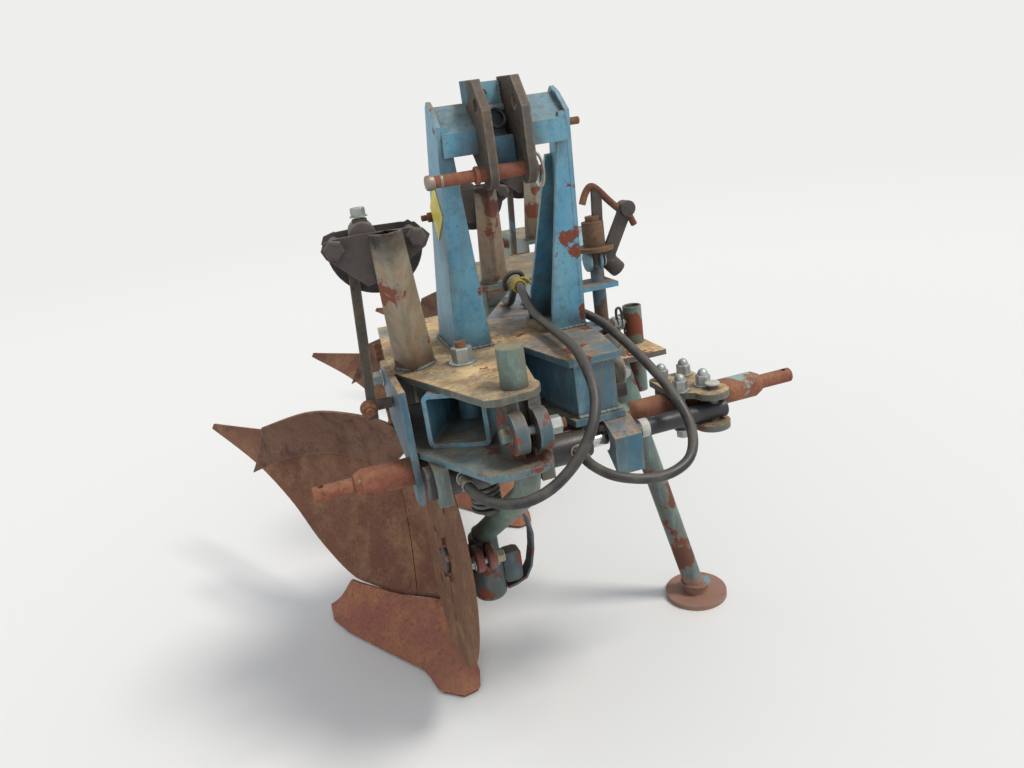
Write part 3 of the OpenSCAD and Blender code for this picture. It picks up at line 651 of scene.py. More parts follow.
def make_materials():
    m = MATERIALS
    m["blue"] = worn_paint("blue_enamel", "5290b0", "78aebd", film=0.85, amount=0.42, grime=0.55)
    m["blue_top"] = worn_paint("blue_enamel_rusty_top", "48605f", "6b5b46", film=1.0, amount=0.5,
                               film_colour="e2c492", film_dark="b8926a", grime=0.8)
    # Painted shade: a darker copy of the blue, with its rusty top film, for the frame box, rod
    # guide and left bearing plate, which stand in shadow.
    m["box"] = worn_paint("blue_enamel_with_painted_shade", "335b70", "4b7180", film=1.0, amount=0.5,
                          film_colour="c8a87c", film_dark="94704e", grime=0.7)
    m["low_plate"] = worn_paint("grey_blue_enamel", "47707e", "5f7f83", film=0.6, amount=0.55,
                                film_colour="a58d68", film_dark="7a5c42", grime=0.8)
    m["crossbar"] = worn_paint("speckled_enamel", "4a86a4", "6b9fae", film=0.85, amount=0.5,
                               film_colour="93a09a", film_dark="77685a", grime=0.5)
    m["green_blue"] = worn_paint("green_blue_enamel", "546f69", "6f7d6e", film=0.8, amount=0.52,
                                 scale=12.0, grime=0.8, film_colour="a08a64")
    m["tower"] = worn_paint("scorched_enamel", "8c6e51", "a29c86", film=0.8, amount=0.74,
                            scale=7.0, grime=0.7, film_colour="b39a70", rust_colour="7b4a34",
                            zone=(0.97, 1.05, "2b2420"))
    m["stand"] = worn_paint("muddy_enamel", "51625f", "5f655c", film=0.5, amount=0.62, scale=11.0,
                            grime=0.9, film_colour="8e7a58", rust_colour="5f4032",
                            zone=(0.075, 0.045, "8f6c5c"))
    m["casting"] = worn_paint("chipped_casting", "40565f", "545e5c", film=0.4, amount=0.76,
                              scale=17.0, grime=0.7, film_colour="86694a", rust_colour="8a4636")
    m["foot"] = rusted_steel("foot_rust", "80645a", "8c6d5c", "97795f", paint="6f8b90",
                             paint_amount=0.05)
    m["flame_cut"] = rusted_steel("flame_cut_plate", "5b5c58", "4a4640", "6b5a4a", bright="9a8468",
                                  film=0.3, paint="55757f", paint_amount=0.09)
    m["shaft"] = rusted_steel("shaft_rust", "7d4a3b", "8a5643", "9c6a4b", paint="8ea29e",
                              paint_amount=0.10)
    m["disc"] = rusted_steel("disc_rust", "6b4a36", "765641", "8b6848", bright="8c5638",
                             pit_scale=34.0)
    m["share"] = rusted_steel("share_rust", "95594e", "9a6650", "ae7450", bright="c08048",
                              film=0.25)
    m["trash"] = rusted_steel("trash_board_rust", "7d5e4c", "6d4d3e", "4c342b", bright="a08264",
                              pit_scale=26.0)
    m["landside"] = rusted_steel("landside_rust", "6b4639", "7a5340", "8a6044")
    m["rod_rust"] = rusted_steel("spindle_rust", "61503f", "6b5a48", "7c6248", paint="62757a",
                                 paint_amount=0.12)
    m["black"] = plain_metal("black_enamel", "2b2b2e", "1d1d1f", 0.0, 0.3, 0.5, scuffs=0.9)
    m["head"] = plain_metal("dark_cast_steel", "3e3836", "4d443e", 0.0, 0.5, 0.75, scuffs=0.15,
                            scuff_code="6d645c")
    m["leaf"] = plain_metal("spring_steel", "252425", "38332f", 0.2, 0.45, 0.65)
    m["zinc"] = plain_metal("zinc_plate", "b4b9b8", "8f9492", 0.75, 0.34, 0.55)
    m["rod"] = rod_finish("chrome_and_black_rod")
    m["rubber"] = hose_rubber("hose_rubber")
    m["yellow"] = sign_yellow("faded_yellow")
    m["board"] = rusted_steel("board_rust", "6e473b", "7b5340", "8d6a4e", bright="b0804f",
                              pit_scale=75.0, film=0.35)
    m["bolt_rust"] = rusted_steel("bolt_rust", "6a4334", "7c5340", "8d6549", bright="a57a55")
    m["bare"] = plain_metal("worn_bright_steel", "a39b90", "7d6a5a", 0.6, 0.35, 0.6)
    # The pale finish also serves as the painted glint of the chrome on the cylinder's rod.
    m["pale"] = plain_metal("pale_paint_and_painted_glint", "cfcdc5", "aaa79c", 0.0, 0.4, 0.6, scuffs=0.3,
                            scuff_code="8d8a80")
    m["cream"] = plain_metal("cream_bolt", "b9b096", "948a70", 0.1, 0.45, 0.65)
    m["pale_pipe"] = plain_metal("dirty_plated_pipe", "8f8a80", "6f665c", 0.7, 0.28, 0.5)
    m["pale_blue"] = worn_paint("pale_blue_enamel", "7fa6b4", "92b4bd", film=0.3, amount=0.3)
    m["primer"] = worn_paint("red_primer", "8e4a40", "7f4a44", film=0.3, amount=0.6, scale=22.0,
                             film_colour="8a6a55", rust_colour="5b7078")
    m["weld"] = worn_paint("painted_weld", "5f8791", "748f90", film=0.6, amount=0.5,
                           film_colour="8f7a58")
    m["soot"] = plain_metal("sooty_steel", "26211e", "3a2f28", 0.0, 0.7, 0.9)
    m["rope"] = plain_metal("yellow_rope", "c9a832", "8f7a2c", 0.0, 0.7, 0.9)


FINISH_OF_NODE = {
    "blue": ["main_beam", "mast_leg_left", "mast_leg_right", "right_bearing", "beam_spacer",
             "depth_bracket"],
    "crossbar": ["mast_cross_member"],
    "blue_top": ["head_upper_plate", "shaft_clamp_plates", "stand_arm"],
    "box": ["frame_box", "rod_guide", "left_bearing_plate"],
    "low_plate": ["head_lower_plate"],
    "green_blue": ["coulter_stalk", "stand_socket", "stowage_tube", "body_bracket_1",
                   "body_bracket_2", "body_bracket_3", "body_leg_1", "body_leg_2",
                   "body_leg_3"],
    "casting": ["coulter_clamp", "coulter_hub"],
    "tower": ["release_tower_1", "release_tower_2", "release_tower_3"],
    "stand": ["stand_leg", "cylinder_clamps"],
    "flame_cut": ["top_link_bracket", "pull_rods"],
    "disc": ["coulter_disc"],
    "shaft": ["cross_shaft", "top_link_pin"],
    "share": ["share_1", "share_2", "share_3", "moldboard_1", "moldboard_2", "moldboard_3"],
    "trash": ["trash_boards"],
    "landside": ["landsides"],
    "rod_rust": ["depth_spindle"],
    "black": ["cylinder_barrel"],
    "rod": ["cylinder_rod"],
    "head": ["release_heads", "depth_crank"],
    "leaf": ["leaf_springs"],
}


def finish_nodes():
    for finish, names in FINISH_OF_NODE.items():
        for name in names:
            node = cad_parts[name]
            node.data.materials.clear()
            node.data.materials.append(MATERIALS[finish])


# Hoses

HOSE_LEFT = [(58, 505, 783), (54, 470, 784), (50, 430, 796), (48, 395, 822), (44, 350, 850),
             (38, 300, 853), (30, 240, 834), (26, 170, 816), (26, 100, 808), (20, 10, 806),
             (10, -75, 806), (5, -134, 780), (-1, -165, 753), (-16, -189, 725), (-38, -204, 697),
             (-67, -212, 668), (-108, -218, 643), (-150, -211, 628), (-186, -191, 626),
             (-210, -160, 630), (-219, -130, 636), (-220, -101, 638)]
HOSE_RIGHT = [(84, 430, 783), (98, 395, 785), (112, 355, 795), (121, 300, 800), (124, 240, 800),
              (126, 170, 800), (129, 105, 797), (137, 50, 782), (152, 0, 754), (168, -50, 718),
              (178, -90, 686), (183, -122, 654), (176, -148, 624), (156, -167, 602),
              (122, -178, 592), (84, -182, 592), (48, -177, 598), (14, -162, 608),
              (-8, -134, 621), (-14, -97, 630)]


def spline_point(points, i, t):
    """A place t of the way from point i to the next, on the curve that the solids follow too."""
    last = len(points) - 1
    a, b, c, d = (Vector(points[max(0, min(last, i + k))]) for k in (-1, 0, 1, 2))
    return 0.5 * (2 * b + (c - a) * t + (2 * a - 5 * b + 4 * c - d) * t * t
                  + (3 * b - a - 3 * c + d) * t ** 3)


def smooth_route(points, steps):
    """The curve through the points, with so many steps from each to the next."""
    spans = range(len(points) - 1)
    return [*(spline_point(points, i, s / steps) for i in spans for s in range(steps)),
            Vector(points[-1])]


def hose_piece(name, node, points, diameter):
    route = [at(*p) for p in smooth_route(points, 4)]
    route.reverse()
    piece = route_curve(name, route, diameter / 2)
    piece.data.materials.append(MATERIALS["rubber"])
    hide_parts(node)
    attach(piece, "frame")


# Shares, moldboards and trash boards, as finer sheets over the same curves

SHARE_EDGE = [(17, 84, 2), (8, 24, 0), (-22, 16, 0), (-66, 48, 0), (-80, 104, 0), (-92, 136, 0),
              (-167, 234, 0), (-264, 366, 0), (-300, 436, 0), (-306, 506, 5)]
SHARE_SEAM = [(2, 208, 118), (-8, 219, 118), (-22, 227, 118), (-42, 240, 118), (-66, 257, 118),
              (-90, 274, 118), (-130, 312, 118), (-185, 372, 118), (-214, 402, 118),
              (-232, 425, 118)]
BOARD_LOW = [(0, 212, 118.7), (-60, 255, 118.7), (-120, 300, 118.7), (-185, 372, 119.4),
             (-236, 430, 132), (-301, 515, 204), (-362, 613, 294), (-453, 761, 370),
             (-590, 985, 424)]
BOARD_TOP = [(0, 264, 455), (-50, 310, 463), (-110, 370, 471), (-170, 432, 475), (-226, 494, 476),
             (-290, 590, 472), (-352, 690, 465), (-440, 815, 452), (-580, 978, 440)]
TRASH_LOW = [(-76, 314, 453), (-167, 404, 470), (-235, 471, 465), (-338, 576, 430),
             (-448, 690, 367)]
TRASH_TOP = [(-26, 226, 530), (-60, 245, 588), (-155, 359, 597), (-252, 455, 586),
             (-384, 609, 520)]
SHIN_END = 0.165
SHIN_GAP = 0.0018
SHARE_THICKNESS = 10
BOARD_THICKNESS = 8
TRASH_THICKNESS = 6
BOARD_HOLLOW = 24
SHARE_HOLLOW = 12
TRASH_BULGE = Vector((6, 8, 0))


def curve_point(points, t):
    """A place on the smooth line through the points, t from 0 to 1."""
    last = len(points) - 1
    i = min(last - 1, int(t * last))
    return spline_point(points, i, t * last - i)


def board_point(t, s):
    low, top = curve_point(BOARD_LOW, t), curve_point(BOARD_TOP, t)
    deep = BOARD_HOLLOW * math.sin(math.pi * s) * (1 - t)
    return low.lerp(top, s) + deep * Vector((min(1, 16 * t / 6), 1, 0))


def share_point(t, s):
    row = t * (len(SHARE_EDGE) - 1)
    i = min(len(SHARE_EDGE) - 2, int(row))
    edge = Vector(SHARE_EDGE[i]).lerp(Vector(SHARE_EDGE[i + 1]), row - i)
    seam = Vector(SHARE_SEAM[i]).lerp(Vector(SHARE_SEAM[i + 1]), row - i)
    return edge.lerp(seam, s) - Vector((0, 0, SHARE_HOLLOW * math.sin(math.pi * s)))


def trash_point(t, s):
    low, top = curve_point(TRASH_LOW, t), curve_point(TRASH_TOP, t)
    return low.lerp(top, s) + math.sin(math.pi * s) * TRASH_BULGE


def facing(surface, t, s):
    """The side that a sheet's grid turns to, as its rows and columns run."""
    step = 0.004
    across = surface(min(1, t + step), s) - surface(max(0, t - step), s)
    upwards = surface(t, min(1, s + step)) - surface(t, max(0, s - step))
    return across.cross(upwards).normalized()


def curved_sheet(name, k, surface, rows, columns, thickness, span=(0.0, 1.0), bevel=0.0016):
    """A closed sheet of steel behind a curved surface of body k."""
    ts = [span[0] + (span[1] - span[0]) * i / rows for i in range(rows + 1)]
    ss = [j / columns for j in range(columns + 1)]
    front = [surface(t, s) for t in ts for s in ss]
    back = [surface(t, s) + thickness * facing(surface, t, s) for t in ts for s in ss]
    wide, half = columns + 1, len(front)
    faces = []
    for i in range(rows):
        for j in range(columns):
            a = i * wide + j
            faces.append((a, a + 1, a + wide + 1, a + wide))
            faces.append((half + a, half + a + wide, half + a + wide + 1, half + a + 1))
    rim = ([j for j in range(wide)] + [i * wide + columns for i in range(1, rows + 1)]
           + [rows * wide + j for j in range(columns - 1, -1, -1)]
           + [i * wide for i in range(rows - 1, 0, -1)])
    for a, b in zip(rim, rim[1:] + rim[:1]):
        faces.append((a, half + a, half + b, b))
    mesh = bpy.data.meshes.new(name)
    mesh.from_pydata([on_body(k, *p) for p in front + back], [], faces)
    sheet = bpy.data.objects.new(name, mesh)
    bpy.context.scene.collection.objects.link(sheet)
    face_outwards(sheet)
    return soften(sheet, bevel, 2, 55)


def plough_bolts(name, k, surface, outward, spots, finish):
    """Countersunk bolt heads that lie almost flush in a sheet."""
    head = primitive("cylinder", name, vertices=28, radius=0.0105, depth=0.0024)
    select_faces(head, lambda face: face.normal.z > 0.9)
    bpy.ops.mesh.inset(thickness=0.0018)
    bpy.ops.transform.translate(value=(0, 0, 0.0006))
    leave_edit()
    soften(head, 0)
    places = []
    for t, s in spots:
        normal = body_direction(*(outward * facing(surface, t, s)))
        places.append(set_on_body(k, surface(t, s), normal))
    return painted(stamp(head, name, places), finish)


def earth_moving_parts(k):
    n = k + 1
    share = painted(curved_sheet(f"ploughshare_{n}", k, share_point, 45, 12, -SHARE_THICKNESS),
                    "share")
    bolts = plough_bolts(f"share_bolts_{n}", k, share_point, 1,
                         [(0.36, 0.52), (0.47, 0.74), (0.62, 0.78), (0.76, 0.8), (0.9, 0.8)],
                         "bolt_rust")
    share = join(f"ploughshare_{n}", [share, bolts])
    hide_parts(f"share_{n}")
    dress(share, "frame")
    shin = painted(curved_sheet(f"shin_{n}", k, board_point, 10, 26, BOARD_THICKNESS,
                                (0, SHIN_END - SHIN_GAP)), "board")
    board = painted(curved_sheet(f"board_{n}", k, board_point, 54, 26, BOARD_THICKNESS,
                                 (SHIN_END + SHIN_GAP, 1)), "board")
    bolts = plough_bolts(f"board_bolts_{n}", k, board_point, -1,
                         [(0.07, 0.12), (0.1, 0.45), (0.1, 0.8), (0.21, 0.08), (0.2, 0.88),
                          (0.33, 0.1), (0.42, 0.42), (0.3, 0.9)], "board")
    board = join(f"curved_board_{n}", [board, shin, bolts])
    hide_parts(f"moldboard_{n}")
    dress(board, "frame")


def trash_strips():
    strips = []
    for k in range(3):
        strips.append(painted(curved_sheet(f"strip_{k}", k, trash_point, 32, 12, -TRASH_THICKNESS,
                                           bevel=0.0012), "trash"))
        stay = rod_between(f"stay_{k}", on_body(k, -36, 365, 503),
                           on_body(k, *(trash_point(0.25, 1) + Vector((5, 0, 0)))), 0.010)
        strips.append(painted(soften(stay, 0.001, 2, 60), "landside"))
        head = fastener(f"strip_bolt_{k}", 0.022, "head", metal="bolt_rust")
        normal = body_direction(*facing(trash_point, 0.3, 0.12))
        places = [set_on_body(k, trash_point(t, 0.12), normal) for t in (0.16, 0.5)]
        strips.append(stamp(head, f"strip_bolts_{k}", places))
    strips = join("trash_strips", strips)
    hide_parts("trash_boards")
    return dress(strips, "frame")


def landside_bolts():
    head = fastener("landside_bolt", 0.024, "head", metal="bolt_rust")
    places = [set_on_body(k, (12, y, 52), body_direction(1, 0, 0), y)
              for k in range(3) for y in (230, 330, 430)]
    return dress(stamp(head, "landside_bolts", places), "frame")


# Coulter

HUB = (-236, 171, 338)
AXLE = Vector((0.9957, 0.0279, -0.0871)).normalized()
DISC_UP = Vector((0.0871, 0, 0.9957))
DISC_RADIUS = 0.220
DISC_THICKNESS = 0.005
GROUND_EDGE = 0.016
GUARD_WIDTH = 34


def along_axle(distance):
    """A point near the disc's axle, in millimetres from the hub's middle."""
    return Vector(HUB) + AXLE * distance


def coulter_disc():
    """A rolling disc with a ground edge, a bolted centre, a slot and round holes."""
    disc = primitive("cylinder", "rolling_disc", vertices=120, radius=DISC_RADIUS,
                     depth=DISC_THICKNESS)
    select_faces(disc, lambda face: abs(face.normal.z) > 0.9)
    bpy.ops.mesh.inset(thickness=GROUND_EDGE)
    leave_edit()
    for vertex in disc.data.vertices:
        if Vector(vertex.co[:2]).length > DISC_RADIUS - 0.0005:
            vertex.co.z *= 0.22
    holes = []
    for number, (up, back, radius) in enumerate([(0.118, 0.0, 0.011), (-0.09, 0.085, 0.011),
                                                 (-0.118, -0.03, 0.011), (0.02, 0.112, 0.009)]):
        holes.append(primitive("cylinder", f"hole_{number}", vertices=24, radius=radius, depth=0.05,
                               location=(-up, back, 0)))
    holes.append(primitive("cube", "slot", size=1, location=(0.070, -0.012, 0)))
    holes[-1].scale = (0.052, 0.012, 0.05)
    for hole in holes:
        settle(hole)
        apply_modifier(disc, "BOOLEAN", object=hole, operation="DIFFERENCE", solver="EXACT")
        bpy.data.objects.remove(hole)
    painted(soften(disc, 0), "disc")
    centre = painted(moved(round_plate("disc_centre", 0.055, 0.018), lift(0.0115)), "casting")
    cap = painted(moved(round_plate("disc_cap", 0.027, 0.009, 32, 0.003), lift(-0.007)), "head")
    bolt = fastener("disc_bolt", 0.013, "head", metal="bolt_rust")
    ring_of = [Matrix.Rotation(math.radians(a), 4, "Z") @ Matrix.Translation((0.041, 0, -0.0025))
               @ Matrix.Rotation(math.pi, 4, "X") for a in range(20, 380, 72)]
    bolts = stamp(bolt, "disc_bolts", ring_of)
    disc = join("rolling_disc", [disc, centre, cap, bolts])
    down = DISC_UP.cross(AXLE).cross(AXLE)
    turn = Matrix((down.normalized(), AXLE.cross(down).normalized(), AXLE)).transposed().to_4x4()
    moved(disc, Matrix.Translation(at(*HUB)) @ turn)
    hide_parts("coulter_disc")
    return dress(disc, "disc")


def coulter_casting():
    """The cast pivot on the stalk's foot, with its pinch lugs, axle and rubbing guard."""
    body = primitive("cylinder", "pivot", vertices=40, radius=0.036, depth=0.100)
    select_faces(body, lambda face: face.normal.z < -0.9)
    bpy.ops.mesh.bevel(offset=0.014, segments=4, affect="EDGES")
    leave_edit()
    neck = primitive("cylinder", "neck", vertices=36, radius=0.031, depth=0.056)
    parts = [painted(soften(put(body, -158, 170, 278), 0.001), "casting"),
             painted(soften(put(neck, -158, 168, 350), 0.003), "casting")]
    lug = [(0.024 * math.cos(math.radians(a)), 0.024 * math.sin(math.radians(a)))
           for a in range(90, 271, 15)] + [(0.034, -0.022), (0.034, 0.022)]
    upright = Matrix(((0, 0, 1, 0), (1, 0, 0, 0), (0, 1, 0, 0), (0, 0, 0, 1)))
    for x in (-184, -158):
        plate = cut_plate("lug", lug, 0.019, 0.004)
        parts.append(painted(moved(plate, Matrix.Translation(at(x, 112, 352)) @ upright), "primer"))
    parts += rods(("stalk_foot", "green_blue", (-158, 163, 356), (-158, 162, 394), 0.0226),
                  ("lug_bolt", "zinc", (-198, 108, 352), (-140, 108, 352), 0.008),
                  ("axle_boss", "casting", along_axle(20), along_axle(62), 0.024, 0.003),
                  ("axle", "head", along_axle(-11), along_axle(64), 0.0149))
    parts += [fitted("lug_nut", 0.024, "head", (-148, 108, 352), (1, 0, 0), metal="cream"),
              fitted("lug_head", 0.022, "nut", (-193, 108, 352), (-1, 0, 0), reach=0.3)]
    strap = primitive("plane", "guard", size=1)
    settle(strap)
    line = [(-124, 244, 150), (-104, 247, 150), (-80, 256, 150), (-66, 280, 150), (-57, 318, 150),
            (-54, 356, 148), (-60, 396, 144), (-76, 424, 132), (-112, 440, 108)]
    select_faces(strap, lambda face: True)
    bpy.ops.mesh.subdivide(number_cuts=len(line) - 2)
    leave_edit()
    for vertex in strap.data.vertices:
        x, z, y = line[round((vertex.co.x + 0.5) * (len(line) - 1))]
        vertex.co = at(x, y + GUARD_WIDTH * (vertex.co.y + 0.5), z)
    apply_modifier(strap, "SOLIDIFY", thickness=0.006, offset=0)
    face_outwards(strap)
    parts.append(painted(soften(strap, 0.001), "casting"))
    stop = block("turning_stop", (0.046, 0.040, 0.078), at(-106, 168, 290), 0.013)
    parts.append(painted(stop, "casting"))
    casting = join("coulter_pivot", parts)
    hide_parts("coulter_hub")
    return dress(casting, "frame")


def coil_spring():
    """The coil that stands round the stalk's left side under the head plate."""
    turns, radius, height = 5, 25, 52
    steps = turns * 12
    points = [(-168 + radius * math.cos(math.tau * turns * step / steps),
               6 + radius * math.sin(math.tau * turns * step / steps),
               528 + height * step / steps) for step in range(steps + 1)]
    parts = [wire("stalk_spring", "casting", points, 0.0046, 1)]
    for name, z in (("spring_cup", 584), ("spring_seat", 525)):
        parts.append(painted(put(round_plate(name, 0.030, 0.006), -168, 6, z), "head"))
    parts += rods(("spring_core", "head", (-168, 6, 508), (-168, 6, 660), 0.010))
    parts.append(painted(block("spring_arm", (0.056, 0.030, 0.008), at(-146, 4, 517)), "casting"))
    return dress(join("stalk_spring", parts), "frame")


# Hitch and mast

def leg_face(back, height, out=0.0):
    """A place on the left mast leg's outer face."""
    return (-154 + height * math.sin(LEG_LEAN) - out * math.cos(LEG_LEAN), 135 + back,
            PLATE_TOP + height * math.cos(LEG_LEAN) + out * math.sin(LEG_LEAN))


def warning_diamond():
    """A blank diamond sign on the left leg's outer side."""
    half = 0.051
    sign = cut_plate("blank_sign", [(half, 0), (0, half), (-half, 0), (0, -half)], 0.0014, 0.0003)
    face = Matrix(((0, math.sin(LEG_LEAN), -math.cos(LEG_LEAN), 0), (1, 0, 0, 0),
                   (0, math.cos(LEG_LEAN), math.sin(LEG_LEAN), 0), (0, 0, 0, 1)))
    tilt = Matrix.Rotation(math.radians(8), 4, "Z")
    moved(sign, Matrix.Translation(at(*leg_face(10, 262, 0.9))) @ face @ tilt)
    return dress(painted(sign, "yellow"), "frame")


def top_link_fastening():
    """The top-link pin's worn ends and its linch pin with a ring."""
    parts = rods(("pin_end", "bare", on_top_pin(-176), on_top_pin(-160), 0.0125, 0.004),
                 ("pin_collar", "shaft", on_top_pin(-92), on_top_pin(-84), 0.0150, 0.002),
                 ("pin_bead", "bare", on_top_pin(-152), on_top_pin(-146), 0.0115, 0.002),
                 ("linch_peg", "zinc", (14, 35, 1074), (14, 35, 1132), 0.0045))
    line = [(14, 35, 1126), (20, 31, 1125), (25, 28, 1112), (26, 26, 1092), (22, 26, 1074),
            (16, 29, 1072), (12, 33, 1080), (13, 35, 1088)]
    parts.append(wire("linch_ring", "bare", line, 0.0025))
    return dress(join("top_link_fastening", parts), "frame")


def bracket_web():
    """The folded back of the top-link bracket, with a cable loop on it."""
    web = [painted(block("bracket_web", (0.0512, 0.006, 0.112), at(-30, 115, 1196)), "blue"),
           painted(block("bracket_box", (0.0512, 0.052, 0.048), at(-30, 92, 1138), 0.004), "blue"),
           painted(ring("web_boss", at(-38, 111, 1233), (0, 1, 0), 0.0085, 0.0020), "blue")]
    web += rods(("web_fold_1", "blue", (-55, 110, 1207), (-5, 110, 1207), 0.008),
                ("web_fold_2", "blue", (-55, 110, 1160), (-5, 110, 1160), 0.009))
    loop = [(-46, 100, 1196), (-42, 84, 1184), (-28, 78, 1176), (-13, 84, 1180), (-8, 98, 1192),
            (-16, 104, 1204), (-32, 103, 1205), (-46, 100, 1196)]
    web.append(wire("cable_loop", "black", loop, 0.0038))
    return dress(join("bracket_web", web), "frame")


def mast_studs():
    studs = rods(("stud_right", "bolt_rust", (94, 84, 1168), (122, 84, 1168), 0.0065),
                 ("stud_left", "bolt_rust", (-164, 196, 1036), (-138, 196, 1036), 0.0055),
                 ("stud_boss", "shaft", (-152, 196, 1036), (-142, 196, 1036), 0.009))
    return dress(join("mast_studs", studs), "frame")


def hose_tie():
    """The rope and shackle that hold the left hose between the mast legs."""
    rope = []
    for number in range(6):
        turn = ring(f"turn_{number}", at(42 - number * 0.6, 342 - number * 7, 851.5),
                    (0.1, 1, 0.02), 0.0122, 0.0034, 28, 8)
        rope.append(painted(turn, "rope" if number % 2 else "black"))
    tail = [(40, 318, 863), (54, 312, 866), (66, 300, 850), (69, 290, 822), (64, 286, 803)]
    shackle = [(22, 356, 838), (20, 352, 858), (30, 348, 872), (46, 346, 876), (60, 348, 868),
               (62, 352, 846), (58, 356, 832)]
    rope += [wire("rope_tail", "rope", tail, 0.003), wire("shackle", "head", shackle, 0.0055)]
    return dress(join("hose_tie", rope), "frame")


# Release heads

def release_details():
    """Pin caps, drums, adjusting bolts and tower plugs of the three release heads."""
    caps, plugs = [], []
    forward = body_direction(0, -1, 0)
    for k in range(3):
        for x in (-94, 40):
            cap = moved(hex_head("cap", 0.031, 0.011, 0.16),
                        set_on_body(k, (x, -107.5, 1025), forward, 0.3))
            nut = moved(hex_head("cap_nut", 0.030, 0.014),
                        set_on_body(k, (x, 24, 1025), -forward, 0.2))
            caps += [painted(cap, "head"), painted(nut, "head")]
        drum = rod_between("drum", on_body(k, -44, -90, 1037), on_body(k, -44, 14, 1037), 0.023)
        shank = rod_between("shank", on_body(k, -44, -46, 1050), on_body(k, -44, -46, 1072), 0.0065)
        collar = moved(washer("bolt_collar", 0.013, 0.010),
                       Matrix.Translation(on_body(k, -44, -46, 1054)))
        caps += [painted(soften(drum, 0.003), "head"), painted(soften(shank, 0), "zinc"),
                 painted(collar, "head"),
                 moved(fastener("adjusting_bolt", 0.022, "head"),
                       set_on_body(k, (-44, -46, 1066), UP, 0.4)),
                 moved(fastener("rod_nut", 0.024, metal="bolt_rust"),
                       set_on_body(k, (-93, -62, 735), forward))]
        plug = block("tower_plug", (0.034, 0.034, 0.006), bevel=0.002)
        turn = Matrix.Rotation(math.radians(41), 4, "Z")
        plugs.append(painted(moved(plug, Matrix.Translation(on_body(k, -12, -157, 1038)) @ turn),
                             "soot"))
    dress(join("release_fastenings", caps), "frame")
    return dress(join("tower_plugs", plugs), "frame")


# Cross shaft and cylinder

def shaft_nuts():
    """Four bolts with dome nuts and the pin that holds the rod between the clamp plates."""
    spots = [(222, 43), (270, 43), (220, -33), (268, -33)]
    parts = [stamp(fastener("dome_nut", 0.024, "dome"), "dome_nuts",
                   [set_at((x, y, 670), UP, x) for x, y in spots]),
             stamp(fastener("clamp_head", 0.024, "head"), "clamp_heads",
                   [set_at((x, y, 596), -UP, y) for x, y in spots])]
    parts += rods(*[(f"shank_{x}", "zinc", (x, -33.2, 606), (x, -33.2, 660), 0.0078)
                    for x in (220, 268)])
    pin_head = moved(washer("pin_head", 0.0135, 0.004), set_at((272, -58, 678), UP))
    parts += [painted(pin_head, "pale"),
              painted(ring("pin_clip", at(272, -58, 588.5), UP, 0.0105, 0.0016), "zinc")]
    return dress(join("shaft_fastenings", parts), "shaft")


def cylinder_details():
    """Gland, ports and hose ferrules on the barrel, and on the rod an eye ring and a pale band that
    is a painted chrome glint.
    """
    parts = rods(("gland", "head", on_cylinder(8), on_cylinder(20), 0.0245, 0.003))
    for name, x, radius, thickness in (("gland_ring", 9, 0.0272, 0.0022),
                                       ("end_ring", -276, 0.0268, 0.0026)):
        parts.append(painted(ring(name, at(*on_cylinder(x)), (1, 0, 0), radius, thickness, 48),
                             "head"))
    for x, y, z, lean in ((-220, -99, 638.5, 0.18), (-14, -95, 630.5, 0.08)):
        way = Vector((0, -1, lean))
        port = ring("port_ring", at(x, y - 7, z + 7 * lean), way, 0.0088, 0.0016)
        ferrule = rod_between("ferrule", at(x, y - 4, z + 4 * lean), at(x, y - 27, z - 1), 0.0103)
        parts += [fitted("port_nut", 0.018, "head", (x, y + 9, z - 9 * lean), way, metal="bare"),
                  painted(port, "zinc"), painted(ferrule, "bare")]
    dress(join("cylinder_fittings", parts), "frame")
    # Painted reflection: the pale band stands for the bright glint of the bare chrome rod.
    bands = rods(("painted_chrome_glint_band", "pale", on_cylinder(118), on_cylinder(134), 0.0173, 0.0004))
    bands.append(painted(ring("eye_ring", at(*on_cylinder(292)), (1, 0, 0), 0.0150, 0.0022, 36),
                         "black"))
    return dress(join("rod_ring_and_glint_band", bands), "rod")


# Parking leg, stowage tube and depth gear

def stand_details():
    """The foot's rolled rim, and what hangs on the frame beside the parking leg."""
    foot = [painted(ring("foot_rim", at(375, 250, 8), UP, 0.0712, 0.0038, 64), "foot"),
            painted(put(washer("foot_boss", 0.036, 0.010), 375, 250, 30), "foot")]
    dress(join("foot_rim", foot), "stand")
    hook = [(266, 292, 700), (262, 286, 730), (258, 284, 752), (254, 284, 764), (247, 285, 762),
            (246, 286, 748), (250, 288, 722), (254, 292, 690)]
    pipe = [(108, 70, 744), (126, 70, 735), (141, 72, 717), (148, 76, 695), (148, 82, 670)]
    parts = [fitted("socket_bolt", 0.022, "head", (220, 219, 640), (0, -1, 0)),
             fitted("socket_nut", 0.022, "nut", (220, 280, 640), (0, 1, 0)),
             fitted("link_nut", 0.026, "nut", (262, 298, 728), (-1, 0, 0.06), reach=0.9),
             *rods(("link_bolt", "zinc", (236, 298, 729), (272, 298, 727), 0.008)),
             wire("chain_hook", "black", hook, 0.003),
             wire("curved_pipe", "pale_pipe", pipe, 0.0155),
             painted(block("pipe_seat", (0.052, 0.040, 0.030), at(132, 84, 660), 0.004), "head"),
             painted(ring("tube_rim", at(290, 298, 759.5), UP, 0.0190, 0.0017, 40), "green_blue")]
    return dress(join("stowage_fittings", parts), "frame")


